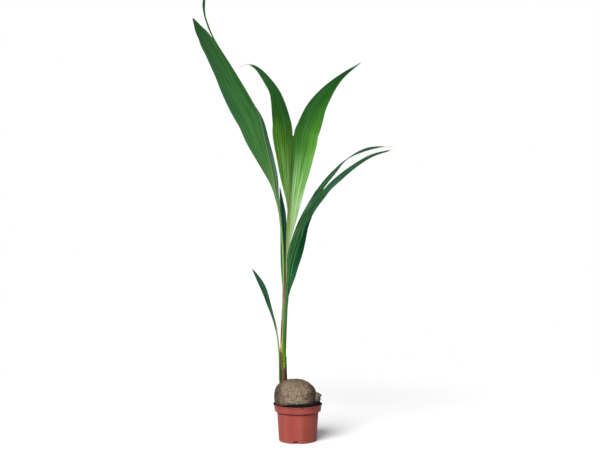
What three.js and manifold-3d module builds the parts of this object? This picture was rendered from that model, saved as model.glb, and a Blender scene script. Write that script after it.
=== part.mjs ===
// A young coconut palm in a plastic nursery pot, sprouting from its own nut.
// Units are millimetres and +Z is up. The origin is the centre of the pot's flat underside,
// and the side with the open fan of the youngest leaf faces -Y.

import * as THREE from 'three';
import { mergeVertices } from 'three/addons/utils/BufferGeometryUtils.js';
import Module from 'manifold-3d';

const wasm = await Module();
wasm.setup();

// Clearance between two pieces that touch on the plant.
const GAP = 0.3;
// Corners closer together than this are one corner.
const MERGE_WITHIN = 1e-4;
const FRONT = new THREE.Vector3(0, -1, 0);

// Pot: a tapered body under a wider rim band, with four drain notches in its foot.
const POT = {
  height: 142,
  wall: 1.6,
  floor: 2.4,
  footRadius: 71,
  footChamfer: 1.8,
  footChamferHeight: 3,
  shoulderRadius: 80,
  shoulderHeight: 108.5,
  bandLowRadius: 89.5,
  bandLowHeight: 115.5,
  bandHighRadius: 92.4,
  bandHighHeight: 138.4,
  lipRadius: 95,
  lipHeight: 2.4,
  lipWidth: 3.4,
  lipEdge: 0.7,
  grooveRise: 0.8,
  grooveDrop: 1.2,
  ledge: 1.5,
  segments: 48,
};
const NOTCH = {
  count: 4,
  turn: -5.4,
  lowWidth: 28,
  highWidth: 16,
  height: 10,
  depth: 13,
  beyondWall: 12,
  holeRadius: 4,
  holeSides: 12,
};

// Soil: fills the pot to its rim and is heaped a little round the nut.
const SOIL = { heapHeight: 151, heapRadius: 58, slopeHeight: 146, slopeRadius: 80, edgeHeight: 140.4 };

// Nut: an oblong husk on its side, sunk a third of its height in the soil.
const NUT = {
  centre: [-10.5, 0, 170],
  half: [81.5, 69, 67],
  bluntness: [2.6, 2.15],
  ridges: 3,
  ridge: 0.03,
  columns: 28,
  rows: 18,
};

// Calyx: the dry scales of the stalk end, at the nut's right.
const CALYX = {
  centre: [77, -3, 166],
  half: [17, 18, 17.5],
  bluntness: [2.4, 2.4],
  ridges: 6,
  ridge: 0.05,
  columns: 18,
  rows: 12,
};

// Stem: the bundle of leaf bases, as stations of height, centre x and y, half width and half depth.
const STEM_STATIONS = [
  [222, -57, 0, 14.6, 14.4],
  [280, -58, 0, 13.2, 13.4],
  [342, -57.4, 0, 11.2, 12],
  [389, -56, 0, 10.2, 11],
  [466, -54, 0, 10.2, 10.4],
  [544, -51, 0, 9.6, 9.8],
  [604, -49.2, 0, 11.4, 9.4],
];
const STEM_SIDES = 14;

// Sheaths: dry brown leaf bases wrapped round the stem. Each row is a height, then the angles
// about the stem where the wrap starts and ends (180 is left, 270 the front, 360 right).
const SHEATH_THICKNESS = 1.6;
const SHEATH_STEP = 10;
const SHEATH_SIDES = 8;
const SHEATH_BASE = [
  [234, 212, 436],
  [278, 210, 420],
  [308, 208, 330],
  [332, 206, 262],
  [356, 204, 212],
];
const SHEATH_TIP = [
  [452, 256, 276],
  [500, 244, 282],
  [560, 236, 292],
  [596, 244, 290],
  [620, 260, 272],
];

// Leaves. Each rib runs from the stem through the petiole and the midrib to the place where
// the blade splits in two, or to the tip of a whole blade. The numbers after it are its radii
// at even steps. A half blade starts at rib point `from` and follows the rib, then its own
// lobe. Its widths and folds stand at even steps from its base to its tip: a fold of 0 lies
// in the plane of the picture, and a positive one turns the margin towards the front.
const LEAVES = {
  a: {
    rib: [[-68, -4, 240], [-69, -7, 304], [-72, -9, 343], [-77, -11, 390], [-86, -14, 443], [-105, -20, 511],
      [-132, -28, 588], [-174, -38, 666]],
    radii: [5.2, 3.4, 2.8, 2.4, 2, 1.2],
    halves: {
      left: { from: 4, lobe: [], widths: [4, 5.5, 7, 10, 11, 11, 10, 6.5, 2], folds: [35] },
      right: { from: 4, lobe: [], widths: [4, 5, 6.5, 8.5, 11.5, 14, 14, 9, 2], folds: [35] },
    },
  },
  b: {
    rib: [[-55, -2, 604.3], [-55, -1, 691], [-59, 3, 777], [-65, 8, 847], [-70, 11, 893], [-86, 18, 960],
      [-97, 28, 1028], [-129, 52, 1165], [-157, 70, 1262], [-204, 84, 1346], [-274, 101, 1468],
      [-347, 114, 1587]],
    radii: [5.3, 5, 5, 5.2, 4.6, 3.8, 2.4],
    halves: {
      left: {
        from: 5,
        lobe: [[-386, 120, 1631], [-419, 126, 1664]],
        widths: [8, 35, 64, 84, 86, 75, 62, 52, 5],
        folds: [-12],
      },
      right: {
        from: 4,
        lobe: [[-373, 130, 1665], [-382, 142, 1724], [-378, 150, 1790]],
        widths: [8, 34, 58, 70, 74, 60, 26, 15, 2],
        folds: [-50, -61, -72, -79, -81, -85, -76, -70, -60],
      },
    },
  },
  c: {
    rib: [[-42, -1, 604.3], [-42, 0, 691], [-39, 4, 777], [-34, 8, 913], [-27, 16, 1049], [-19, 28, 1177]],
    radii: [5.5, 5.2, 5.8, 5, 4, 2.4],
    halves: {
      left: {
        from: 2,
        lobe: [[-31, 38, 1262], [-70, 50, 1362], [-137, 62, 1441], [-189, 70, 1470], [-233, 72, 1458]],
        widths: [9, 26, 60, 84, 100, 84, 53, 21, 2],
        folds: [80, 80, 62, 49, 40, 38, 38, 38, 38],
      },
      right: {
        from: 2,
        lobe: [[1, 36, 1238], [39, 46, 1310], [99, 58, 1373], [170, 70, 1430], [249, 82, 1479]],
        widths: [10, 42, 66, 89, 105, 90, 58, 22, 2],
        folds: [20],
      },
    },
  },
  d: {
    rib: [[-52, -9, 289], [-50, -11, 371], [-46, -12, 460], [-43, -13, 545], [-36, -16, 622], [-27, -20, 692],
      [5, -33, 800], [39, -46, 881], [99, -66, 972]],
    radii: [5, 5.8, 5.8, 5.6, 4.4, 2.4],
    halves: {
      left: {
        from: 4,
        lobe: [[144, -82, 1037], [186, -96, 1081], [239, -110, 1110], [302, -122, 1127], [354, -130, 1131]],
        widths: [9, 14, 28, 34, 33, 22, 10, 11, 2],
        folds: [-40, -40, -45, -56, -57, -58, -70, -61, -50],
      },
      right: {
        from: 3,
        lobe: [[153, -84, 1021], [216, -100, 1069], [283, -118, 1102], [368, -136, 1119]],
        widths: [9, 34, 46, 42, 33, 35, 25, 12, 2],
        folds: [-38, -44, -45, -57, -61, -57, -56, -56, -56],
      },
    },
  },
  e: {
    rib: [[-55, 9, 497], [-54, 12, 574], [-54, 20, 667], [-56, 34, 765], [-58, 44, 835], [-63, 56, 902],
      [-71, 72, 973]],
    radii: [3.2, 3.2, 2.8, 2.4, 2, 1.2],
    halves: {
      left: { from: 1, lobe: [], widths: [4, 8, 11.5, 12.5, 12.5, 12.5, 10.5, 5.5, 2], folds: [-25] },
      right: { from: 1, lobe: [], widths: [4, 8, 11.5, 12.5, 12.5, 12.5, 10.5, 5.5, 2], folds: [-25] },
    },
  },
};
const RIB_SIDES = 8;
const RIB_STEP = 24;
const BLADE_STEP = 30;
// How finely a curve is sampled to follow it and to measure its length.
const RAIL_SAMPLES = 60;
const LENGTH_SAMPLES = 200;
// A blade is thickest beside its rib, in proportion to it, and thins to its margin.
const BLADE_ROOT_RATIO = 1.1;
const BLADE_MARGIN = 2;
const BLADE_GAP = 0.5;
const BLADE_LEAST_WIDTH = 2;

const COLOURS = {
  pot: 0xa64d45,
  soil: 0x241f1c,
  nut: 0x80705c,
  calyx: 0x554838,
  stem: 0x8f8a4e,
  sheath: 0x6c4c3a,
  rib: 0x7d9a4e,
  blade_a: 0x2f5a38,
  blade_b: 0x36652f,
  blade_c: 0x4c8536,
  blade_d: 0x2c5f38,
  blade_e: 0x17452a,
};
const ROUGHNESS = { pot: 0.45, leaf: 0.5, dry: 0.9 };

// Solids

function solidOf(geometry) {
  const bare = geometry.clone();
  bare.deleteAttribute('normal');
  bare.deleteAttribute('uv');
  const merged = facingOut(mergeVertices(bare, MERGE_WITHIN));
  return new wasm.Manifold(new wasm.Mesh({
    numProp: 3,
    vertProperties: new Float32Array(merged.attributes.position.array),
    triVerts: new Uint32Array(merged.index.array),
  }));
}

function geometryOf(solid) {
  const mesh = solid.getMesh();
  const geometry = new THREE.BufferGeometry();
  geometry.setAttribute('position', new THREE.BufferAttribute(new Float32Array(mesh.vertProperties), 3));
  geometry.setIndex(new THREE.BufferAttribute(new Uint32Array(mesh.triVerts), 1));
  geometry.computeVertexNormals();
  return geometry;
}

// A closed skin over rings of equally many points, capped at both ends. A ring is a loop whose
// second half runs back beside its first, so a cap is a strip between the two halves.
function loft(rings) {
  const count = rings[0].length;
  const points = rings.flat();
  const faces = [];
  for (let ring = 0; ring < rings.length - 1; ring += 1) {
    for (let i = 0; i < count; i += 1) {
      const a = ring * count + i;
      const b = ring * count + ((i + 1) % count);
      faces.push(a, b, b + count, a, b + count, a + count);
    }
  }
  const last = (rings.length - 1) * count;
  for (let i = 0; i < count / 2 - 1; i += 1) {
    const [p, q, r, s] = [i, i + 1, count - 2 - i, count - 1 - i];
    faces.push(p, r, q, p, s, r);
    faces.push(last + p, last + q, last + r, last + p, last + r, last + s);
  }
  const geometry = new THREE.BufferGeometry();
  const places = points.flatMap((point) => point.toArray());
  geometry.setAttribute('position', new THREE.Float32BufferAttribute(places, 3));
  geometry.setIndex(faces);
  return geometry;
}

// Turns every face round where the skin was wound inside out.
function facingOut(geometry) {
  const position = geometry.attributes.position;
  const index = geometry.index.array;
  const corner = (i) => new THREE.Vector3().fromBufferAttribute(position, index[i]);
  let volume = 0;
  for (let i = 0; i < index.length; i += 3) {
    volume += corner(i).dot(corner(i + 1).cross(corner(i + 2)));
  }
  if (volume < 0) {
    for (let i = 0; i < index.length; i += 3) {
      [index[i + 1], index[i + 2]] = [index[i + 2], index[i + 1]];
    }
  }
  return geometry;
}

// A point on a list of numbers at even steps, from t = 0 to t = 1, on a smooth curve.
function smooth(list, t) {
  if (list.length === 1) {
    return list[0];
  }
  const steps = list.length - 1;
  const at = Math.min(Math.max(t, 0), 1) * steps;
  const i = Math.min(Math.floor(at), steps - 1);
  const f = at - i;
  const b = list[i];
  const c = list[i + 1];
  const a = i > 0 ? list[i - 1] : 2 * b - c;
  const d = i + 2 <= steps ? list[i + 2] : 2 * c - b;
  return 0.5 * (2 * b + (c - a) * f + (2 * a - 5 * b + 4 * c - d) * f * f + (3 * b - a - 3 * c + d) * f ** 3);
}

function curveThrough(points) {
  const vectors = points.map((point) => new THREE.Vector3(...point));
  return new THREE.CatmullRomCurve3(vectors, false, 'catmullrom', 0.5);
}

// Pot and soil

function lathe(profile) {
  const points = profile.map(([radius, height]) => new THREE.Vector2(radius, height));
  return solidOf(new THREE.LatheGeometry(points, POT.segments).rotateX(Math.PI / 2));
}

// The pot's inner wall from its floor to its lip, pulled in by a clearance.
function potInside(clearance) {
  const inset = POT.wall + clearance;
  return [
    [0, POT.floor + clearance],
    [POT.footRadius - inset, POT.floor + clearance],
    [POT.shoulderRadius - inset, POT.shoulderHeight + POT.grooveRise],
    [POT.bandLowRadius - inset, POT.bandLowHeight + POT.grooveRise],
    [POT.bandHighRadius - inset, POT.bandHighHeight],
  ];
}

function potShell() {
  const outside = [
    [POT.lipRadius - POT.lipWidth, POT.height],
    [POT.lipRadius - POT.lipEdge, POT.height],
    [POT.lipRadius, POT.height - POT.lipEdge],
    [POT.lipRadius, POT.height - POT.lipHeight],
    [POT.bandHighRadius, POT.bandHighHeight],
    [POT.bandLowRadius, POT.bandLowHeight],
    [POT.shoulderRadius + POT.ledge, POT.shoulderHeight + POT.grooveRise],
    [POT.shoulderRadius, POT.shoulderHeight - POT.grooveDrop],
    [POT.footRadius + POT.footChamfer, POT.footChamferHeight],
    [POT.footRadius, 0],
    [0, 0],
  ];
  return lathe([...potInside(0), ...outside, [0, POT.floor]]);
}

// One drain notch as a solid: a trapezoid seen from outside, pushed in through the wall.
function notch(index, grow) {
  const low = NOTCH.lowWidth / 2 + grow;
  const high = NOTCH.highWidth / 2 + grow;
  const top = NOTCH.height + grow;
  const reach = POT.footRadius + NOTCH.beyondWall;
  const inner = POT.footRadius - NOTCH.depth - grow;
  const ring = (depth) => [
    new THREE.Vector3(-low, -depth, -POT.wall),
    new THREE.Vector3(low, -depth, -POT.wall),
    new THREE.Vector3(high, -depth, top),
    new THREE.Vector3(-high, -depth, top),
  ];
  const turn = THREE.MathUtils.degToRad(NOTCH.turn + (360 / NOTCH.count) * index);
  return solidOf(loft([ring(inner), ring(reach)]).rotateZ(turn));
}

// The hole that drains the pot through the roof of a notch.
function drainHole(index) {
  const place = POT.footRadius - NOTCH.depth / 2;
  const turn = THREE.MathUtils.degToRad(NOTCH.turn + (360 / NOTCH.count) * index);
  const { holeRadius, holeSides } = NOTCH;
  const hole = new THREE.CylinderGeometry(holeRadius, holeRadius, 2 * NOTCH.height, holeSides);
  return solidOf(hole.rotateX(Math.PI / 2).translate(0, -place, NOTCH.height).rotateZ(turn));
}

function each(count, make) {
  return Array.from({ length: count }, (_, index) => make(index));
}

function together(solids) {
  return solids.reduce((whole, solid) => whole.add(solid));
}

// The notches are closed recesses: the wall follows them inside the pot.
function makePot() {
  const shell = potShell();
  const filled = lathe([
    [0, 0],
    [POT.footRadius, 0],
    [POT.shoulderRadius - POT.wall, POT.shoulderHeight],
    [0, POT.shoulderHeight],
  ]);
  const recessWalls = together(each(NOTCH.count, (i) => notch(i, POT.wall))).intersect(filled);
  const notches = together(each(NOTCH.count, (i) => notch(i, 0)));
  const holes = together(each(NOTCH.count, drainHole));
  return shell.add(recessWalls).subtract(notches).subtract(holes);
}

function makeSoil(nutGrown) {
  const wall = potInside(GAP);
  const fill = lathe([
    ...wall,
    [wall.at(-1)[0], SOIL.edgeHeight],
    [SOIL.slopeRadius, SOIL.slopeHeight],
    [SOIL.heapRadius, SOIL.heapHeight],
    [0, SOIL.heapHeight],
  ]);
  const recesses = together(each(NOTCH.count, (i) => notch(i, POT.wall + GAP)));
  return fill.subtract(recesses).subtract(nutGrown);
}

// Nut

// A husk: a sphere drawn out along X, with its own bluntness at each end and low ridges along it.
function husk({ centre, half, bluntness, ridges, ridge, columns, rows }, grow) {
  const sphere = new THREE.SphereGeometry(1, columns, rows).rotateZ(Math.PI / 2);
  const position = sphere.attributes.position;
  for (let i = 0; i < position.count; i += 1) {
    const way = new THREE.Vector3().fromBufferAttribute(position, i).normalize();
    const round = Math.hypot(way.y, way.z);
    const power = bluntness[way.x < 0 ? 0 : 1];
    const reach = (Math.abs(way.x) ** power + round ** power) ** (-1 / power);
    const swell = 1 + ridge * Math.cos(ridges * (Math.atan2(way.z, way.y) - Math.PI / 2)) * round;
    position.setXYZ(
      i,
      centre[0] + way.x * reach * (half[0] + grow),
      centre[1] + way.y * reach * swell * (half[1] + grow),
      centre[2] + way.z * reach * swell * (half[2] + grow),
    );
  }
  return solidOf(sphere);
}

// Stem

// The stem's centre and half sizes at a height.
function stemAt(height) {
  let i = STEM_STATIONS.findIndex(([z]) => z > height) - 1;
  i = i < 0 ? (height < STEM_STATIONS[0][0] ? 0 : STEM_STATIONS.length - 2) : i;
  const [low, high] = [STEM_STATIONS[i], STEM_STATIONS[i + 1]];
  const f = (height - low[0]) / (high[0] - low[0]);
  return [1, 2, 3, 4].map((k) => low[k] + f * (high[k] - low[k]));
}

function stemPoint(height, degrees, outwards) {
  const [x, y, width, depth] = stemAt(height);
  const angle = THREE.MathUtils.degToRad(degrees);
  return new THREE.Vector3(
    x + (width + outwards) * Math.cos(angle),
    y + (depth + outwards) * Math.sin(angle),
    height,
  );
}

function makeStem(grow) {
  const last = STEM_STATIONS.length - 1;
  const rings = STEM_STATIONS.map(([height], i) => {
    const moved = height + (i === last ? grow : 0) - (i === 0 ? grow : 0);
    return each(STEM_SIDES, (side) => stemPoint(moved, (360 / STEM_SIDES) * side, grow));
  });
  return solidOf(loft(rings));
}

// A thin wrap round the stem between two angles that change with height.
function makeSheath(rows, stemGrown) {
  const low = rows[0][0];
  const high = rows.at(-1)[0];
  const steps = Math.ceil((high - low) / SHEATH_STEP);
  const rings = each(steps + 1, (step) => {
    const height = low + ((high - low) * step) / steps;
    const row = Math.max(rows.findIndex(([z]) => z >= height), 1);
    const [before, after] = [rows[row - 1], rows[row]];
    const f = (height - before[0]) / (after[0] - before[0]);
    const start = THREE.MathUtils.lerp(before[1], after[1], f);
    const end = THREE.MathUtils.lerp(before[2], after[2], f);
    const angles = each(SHEATH_SIDES + 1, (i) => start + ((end - start) * i) / SHEATH_SIDES);
    const outside = angles.map((angle) => stemPoint(height, angle, GAP + SHEATH_THICKNESS));
    const inside = angles.map((angle) => stemPoint(height, angle, -SHEATH_THICKNESS)).reverse();
    return [...outside, ...inside];
  });
  return solidOf(loft(rings)).subtract(stemGrown);
}

// Leaves

// The sideways and forward directions that a leaf's section is drawn in, at a tangent.
function sectionAxes(tangent) {
  const facing = FRONT.clone().addScaledVector(tangent, -FRONT.dot(tangent)).normalize();
  const sideways = new THREE.Vector3().crossVectors(tangent, facing);
  return { facing, sideways };
}

function makeRib({ rib, radii }, grow) {
  const curve = curveThrough(rib);
  const steps = Math.ceil(curve.getLength() / RIB_STEP);
  const rings = each(steps + 1, (i) => {
    const t = i / steps;
    const tangent = curve.getTangentAt(t);
    const { facing, sideways } = sectionAxes(tangent);
    const beyond = (i === steps ? grow : 0) - (i === 0 ? grow : 0);
    const point = curve.getPointAt(t).addScaledVector(tangent, beyond);
    const radius = smooth(radii, t) + grow;
    return each(RIB_SIDES, (side) => {
      const angle = (Math.PI * 2 * side) / RIB_SIDES;
      return point.clone()
        .addScaledVector(sideways, radius * Math.cos(angle))
        .addScaledVector(facing, radius * Math.sin(angle));
    });
  });
  return solidOf(loft(rings));
}

// A half blade's inner line: along the rib from the blade's base, then along its own lobe.
// Each point carries the clearance that keeps the blade off the rib.
function bladeRail({ rib, radii }, { from, lobe }) {
  const along = curveThrough(rib);
  const ribLength = along.getLength();
  const first = from / (rib.length - 1);
  const rail = [];
  let travelled = lengthTo(along, first);
  for (let i = 0; i <= RAIL_SAMPLES; i += 1) {
    const point = along.getPoint(first + ((1 - first) * i) / RAIL_SAMPLES);
    travelled += rail.length ? point.distanceTo(rail.at(-1).point) : 0;
    rail.push({ point, clear: smooth(radii, travelled / ribLength) + BLADE_GAP });
  }
  if (lobe.length) {
    const beyond = curveThrough([rib.at(-2), rib.at(-1), ...lobe]);
    const start = 1 / (lobe.length + 1);
    const atSplit = rail.at(-1).clear;
    for (let i = 1; i <= RAIL_SAMPLES; i += 1) {
      const point = beyond.getPoint(start + ((1 - start) * i) / RAIL_SAMPLES);
      rail.push({ point, clear: atSplit * (1 - i / RAIL_SAMPLES) });
    }
  }
  return rail;
}

// The length of a curve from its start to its parameter t.
function lengthTo(curve, t) {
  const points = each(LENGTH_SAMPLES + 1, (i) => curve.getPoint((t * i) / LENGTH_SAMPLES));
  return points.slice(1).reduce((length, point, i) => length + point.distanceTo(points[i]), 0);
}

// Points at even lengths along a rail, with the rail's direction at each.
function evenly(rail) {
  const lengths = [0];
  for (let i = 1; i < rail.length; i += 1) {
    lengths.push(lengths[i - 1] + rail[i].point.distanceTo(rail[i - 1].point));
  }
  const total = lengths.at(-1);
  const steps = Math.ceil(total / BLADE_STEP);
  const at = (wanted) => {
    const i = Math.min(Math.max(lengths.findIndex((length) => length >= wanted), 1), rail.length - 1);
    const f = (wanted - lengths[i - 1]) / (lengths[i] - lengths[i - 1]);
    return {
      point: rail[i - 1].point.clone().lerp(rail[i].point, f),
      clear: THREE.MathUtils.lerp(rail[i - 1].clear, rail[i].clear, f),
    };
  };
  return each(steps + 1, (i) => {
    const t = i / steps;
    const reach = BLADE_STEP / 2;
    const before = at(Math.max(t * total - reach, 0)).point;
    const after = at(Math.min(t * total + reach, total)).point;
    return { ...at(t * total), t, tangent: after.sub(before).normalize() };
  });
}

function makeHalfBlade(leaf, half, side) {
  const rings = evenly(bladeRail(leaf, half)).map(({ point, clear, t, tangent }) => {
    const { facing, sideways } = sectionAxes(tangent);
    const fold = THREE.MathUtils.degToRad(smooth(half.folds, t));
    const across = sideways.multiplyScalar(side * Math.cos(fold)).addScaledVector(facing, Math.sin(fold));
    const normal = new THREE.Vector3().crossVectors(tangent, across);
    const width = Math.max(smooth(half.widths, t), clear + BLADE_LEAST_WIDTH);
    const root = Math.max(BLADE_ROOT_RATIO * clear, BLADE_MARGIN);
    const corner = (outwards, upwards) => point.clone()
      .addScaledVector(across, outwards)
      .addScaledVector(normal, upwards);
    return [
      corner(clear, root / 2),
      corner(width, BLADE_MARGIN / 2),
      corner(width, -BLADE_MARGIN / 2),
      corner(clear, -root / 2),
    ];
  });
  return solidOf(loft(rings));
}

// Assembly

const palm = new THREE.Group();

function place(name, solid, colour, roughness) {
  const material = new THREE.MeshStandardMaterial({ color: colour, roughness, metalness: 0 });
  const mesh = new THREE.Mesh(geometryOf(solid), material);
  mesh.name = name;
  palm.add(mesh);
}

const grownRibs = Object.fromEntries(
  Object.entries(LEAVES).map(([letter, leaf]) => [letter, makeRib(leaf, GAP)]),
);
const grooved = ['a', 'd', 'e'].map((letter) => grownRibs[letter]);
const withoutRibs = (solid) => grooved.reduce((rest, rib) => rest.subtract(rib), solid);

const nutGrown = husk(NUT, GAP);
const stemGrown = makeStem(GAP);
const nut = husk(NUT, 0).subtract(stemGrown).subtract(grownRibs.a);
const sheathBase = withoutRibs(makeSheath(SHEATH_BASE, stemGrown)).subtract(nutGrown);

place('pot', makePot(), COLOURS.pot, ROUGHNESS.pot);
place('soil', makeSoil(nutGrown), COLOURS.soil, ROUGHNESS.dry);
place('nut', nut, COLOURS.nut, ROUGHNESS.dry);
place('calyx', husk(CALYX, 0).subtract(nutGrown), COLOURS.calyx, ROUGHNESS.dry);
place('stem', withoutRibs(makeStem(0)), COLOURS.stem, ROUGHNESS.leaf);
place('sheath_base', sheathBase, COLOURS.sheath, ROUGHNESS.dry);
place('sheath_tip', withoutRibs(makeSheath(SHEATH_TIP, stemGrown)), COLOURS.sheath, ROUGHNESS.dry);

for (const [letter, leaf] of Object.entries(LEAVES)) {
  const colour = COLOURS[`blade_${letter}`];
  place(`leaf_${letter}_rib`, makeRib(leaf, 0), COLOURS.rib, ROUGHNESS.leaf);
  place(`leaf_${letter}_left`, makeHalfBlade(leaf, leaf.halves.left, -1), colour, ROUGHNESS.leaf);
  place(`leaf_${letter}_right`, makeHalfBlade(leaf, leaf.halves.right, 1), colour, ROUGHNESS.leaf);
}

export default palm;
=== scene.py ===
"""A young coconut palm in a plastic nursery pot, sprouting from its own nut.

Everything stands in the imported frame, in metres. The leaves, stem, nut, soil and pot are made
again as fine meshes, from nearly the same named sizes as the solids that they replace.
"""

import math
import random
from types import SimpleNamespace as Sizes

import bmesh
import bpy
import numpy as np
from mathutils import Matrix, Vector, noise


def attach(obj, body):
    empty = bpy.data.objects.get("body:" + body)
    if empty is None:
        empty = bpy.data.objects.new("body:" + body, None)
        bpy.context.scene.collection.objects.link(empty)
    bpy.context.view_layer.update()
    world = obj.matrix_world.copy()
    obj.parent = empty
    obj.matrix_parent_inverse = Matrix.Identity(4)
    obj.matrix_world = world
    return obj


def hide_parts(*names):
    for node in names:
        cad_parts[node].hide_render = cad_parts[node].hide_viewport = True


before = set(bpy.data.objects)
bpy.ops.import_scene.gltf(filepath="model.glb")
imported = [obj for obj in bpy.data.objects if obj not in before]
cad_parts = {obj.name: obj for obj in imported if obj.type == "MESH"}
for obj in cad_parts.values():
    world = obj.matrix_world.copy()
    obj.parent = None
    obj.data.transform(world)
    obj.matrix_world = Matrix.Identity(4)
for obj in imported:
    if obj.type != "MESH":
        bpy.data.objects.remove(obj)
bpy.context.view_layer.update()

BODY = "root"
MM = 0.001
TURN = 2 * math.pi
FRONT = np.array((0.0, -1.0, 0.0))

# Camera: level, at the height of the middle of the photograph.
CAMERA_PLACE = (0.0085, -3.9, 0.835)
CAMERA_LENS = 60.3
SENSOR = 36.0

# Light: a pale room and one soft key lamp high at the left front. The room and the floor are
# seen as white, and each lights the plant less than that.
ROOM_STRENGTH = 0.3
KEY_STRENGTH = 1.35
KEY_SOFTNESS = 40
KEY_TURN = -25
KEY_HEIGHT = 36
FLOOR_RADIUS = 2.4
FLOOR_SIDES = 96
FLOOR_SHOWN = 1.06
FLOOR_BOUNCE = 0.45
# How much brighter than its base colour a surface that faces the camera is lit, and what its
# gloss adds on top.
LIT = 1.35
GLOSS = 0.006
DARKEST = 0.002
POT_LIT = 1.32


def blade_sizes(start, widths, folds, lobe=(), dry=1.1, corner=(0, 1, 0)):
    """Half a blade. It starts at one of the rib's points, and its widths and folds lie at even
    steps from there to its tip, which may end in a lobe of its own. Its tip is dry from a place
    between 0 and 1 on. A corner is where a leaflet ends: its place, how far before it the margin
    starts to stand out, and by how much."""
    return Sizes(start=start, widths=widths, folds=folds, lobe=lobe, dry=dry, corner=corner)


# Leaves, in millimetres and degrees: the rib's points and its radii, where it is rooted in what
# carries it, the side that is grooved (1 is the front), how long the blade's foot runs down the
# rib, and the pleats of each half blade.
LEAVES = {
    "a": Sizes(
        rib=[(-67, -9, 240), (-69.5, -11, 304), (-72, -10, 343), (-77, -11, 390), (-86, -14, 443),
             (-105, -20, 511), (-132, -28, 588), (-174, -38, 666)],
        radii=[6.4, 3.6, 2.8, 2.4, 2, 1.2], root=(-66, 0, 218), groove=1, foot=30, pleats=3,
        left=blade_sizes(4, [4, 5.5, 7, 10, 11, 11, 10, 6.5, 2], [35], dry=0.97),
        right=blade_sizes(4, [4, 5, 6.5, 8.5, 11.5, 14, 14, 9, 2], [35], dry=0.97),
    ),
    "b": Sizes(
        rib=[(-55.5, -2, 604.3), (-55.8, -1, 691), (-60, 3, 777), (-66.5, 8, 847), (-72.5, 11, 893),
             (-87, 18, 960), (-97, 28, 1028), (-129, 52, 1165), (-152.5, 70, 1264.5),
             (-196.5, 84, 1350.5), (-268.5, 101, 1471), (-344, 114, 1589)],
        radii=[5, 4.6, 4.8, 3.4, 2.8, 2.4, 1.8], root=(-54, -1, 560), groove=-1, foot=45, pleats=8,
        left=blade_sizes(
            5, [6, 20.5, 37, 52.5, 68.5, 82, 90.5, 96, 96, 92.5, 86, 77, 70, 62.5, 56.5, 38, 5], [-12],
            lobe=[(-385, 120, 1632), (-419.5, 126, 1665)]),
        right=blade_sizes(
            4, [8, 21, 34, 46, 58, 64, 70, 73, 74, 69, 60, 45, 30, 24, 15.5, 18.5, 2],
            [-50, -61, -72, -80, -90, -94, -84, -64, -55],
            lobe=[(-372.4, 128, 1657), (-380.4, 133, 1690), (-384.2, 137, 1715), (-382.3, 141, 1740),
                  (-377.5, 150, 1790)]),
    ),
    "c": Sizes(
        rib=[(-42, -1, 604.3), (-42, 0, 691), (-40, 4, 777), (-34, 8, 913), (-27, 16, 1049),
             (-18.5, 28.5, 1186)],
        radii=[5.8, 5.6, 6.4, 5, 4, 2.4], root=(-44, -1, 560), groove=1, foot=95, pleats=9,
        left=blade_sizes(
            2, [9, 9, 13, 28, 48, 68, 85, 97, 103, 95, 83, 67.5, 51, 41, 27, 11, 7],
            [70, 72, 54, 49, 40, 38, 38, 38, 38], dry=0.945,
            lobe=[(-31, 38, 1262), (-70, 50, 1362), (-136, 62, 1443), (-189, 70, 1471),
                  (-233, 72, 1458)]),
        right=blade_sizes(
            2, [13.5, 39, 63.5, 88, 104, 93, 63, 25, 2], [20],
            lobe=[(0.5, 36, 1240), (37.5, 46, 1311.5), (96.5, 58, 1376.5), (168.5, 70, 1431.5),
                  (249, 82, 1479)]),
    ),
    "d": Sizes(
        rib=[(-52, -9, 289), (-51, -11, 371), (-47.5, -13, 460), (-43, -14, 545), (-36, -16, 622),
             (-27, -20, 692), (5, -33, 800), (39, -46, 881), (99, -66, 972)],
        radii=[6.6, 6.4, 5.6, 4.6, 3.4, 2.2], root=(-54, -1, 262), groove=-1, foot=45, pleats=5,
        left=blade_sizes(
            4, [9, 12, 25, 28.5, 30, 31, 32.5, 35.5, 38, 36, 32, 23, 9, 20, 20, 9, 2],
            [-40, -40, -45, -56, -57, -58, -66, -54, -50], dry=0.955, corner=(0.51, 0.1, 2.5),
            lobe=[(146.5, -82, 1034), (185.5, -96, 1081), (239, -110, 1107), (302, -122, 1124.5),
                  (354, -130, 1129.5)]),
        right=blade_sizes(
            3, [4, 18.5, 38, 48, 51, 50, 45, 39.5, 41.5, 43.5, 42, 39, 32, 25, 19, 11, 2],
            [-38, -44, -45, -57, -61, -57, -56, -56, -56], dry=0.965, corner=(0.43, 0.06, 2.5),
            lobe=[(152, -84, 1023.5), (216.5, -100, 1069.5), (283, -118, 1103.5), (370, -136, 1121)]),
    ),
    "e": Sizes(
        rib=[(-55, 9, 497), (-54, 12, 574), (-54, 20, 667), (-56, 34, 765), (-58, 44, 835),
             (-63, 56, 908), (-71, 72, 984)],
        radii=[3.2, 3.2, 2.8, 2.4, 2, 1.2], root=(-55, 3, 470), groove=-1, foot=20, pleats=3,
        left=blade_sizes(1, [4.5, 10, 13.5, 14, 13, 12.5, 11, 6.5, 2], [-25], dry=0.975),
        right=blade_sizes(1, [4, 8, 12, 13.5, 14.5, 15.5, 14.5, 8, 2], [-25], dry=0.975),
    ),
}
# How far apart the patterns of two leaves start, and those of a leaf's two halves.
LEAF_SEED = 5.3
LEFT_SEED = 2.1
CURVE_SAMPLES = 80
TANGENT_REACH = 15 * MM
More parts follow.
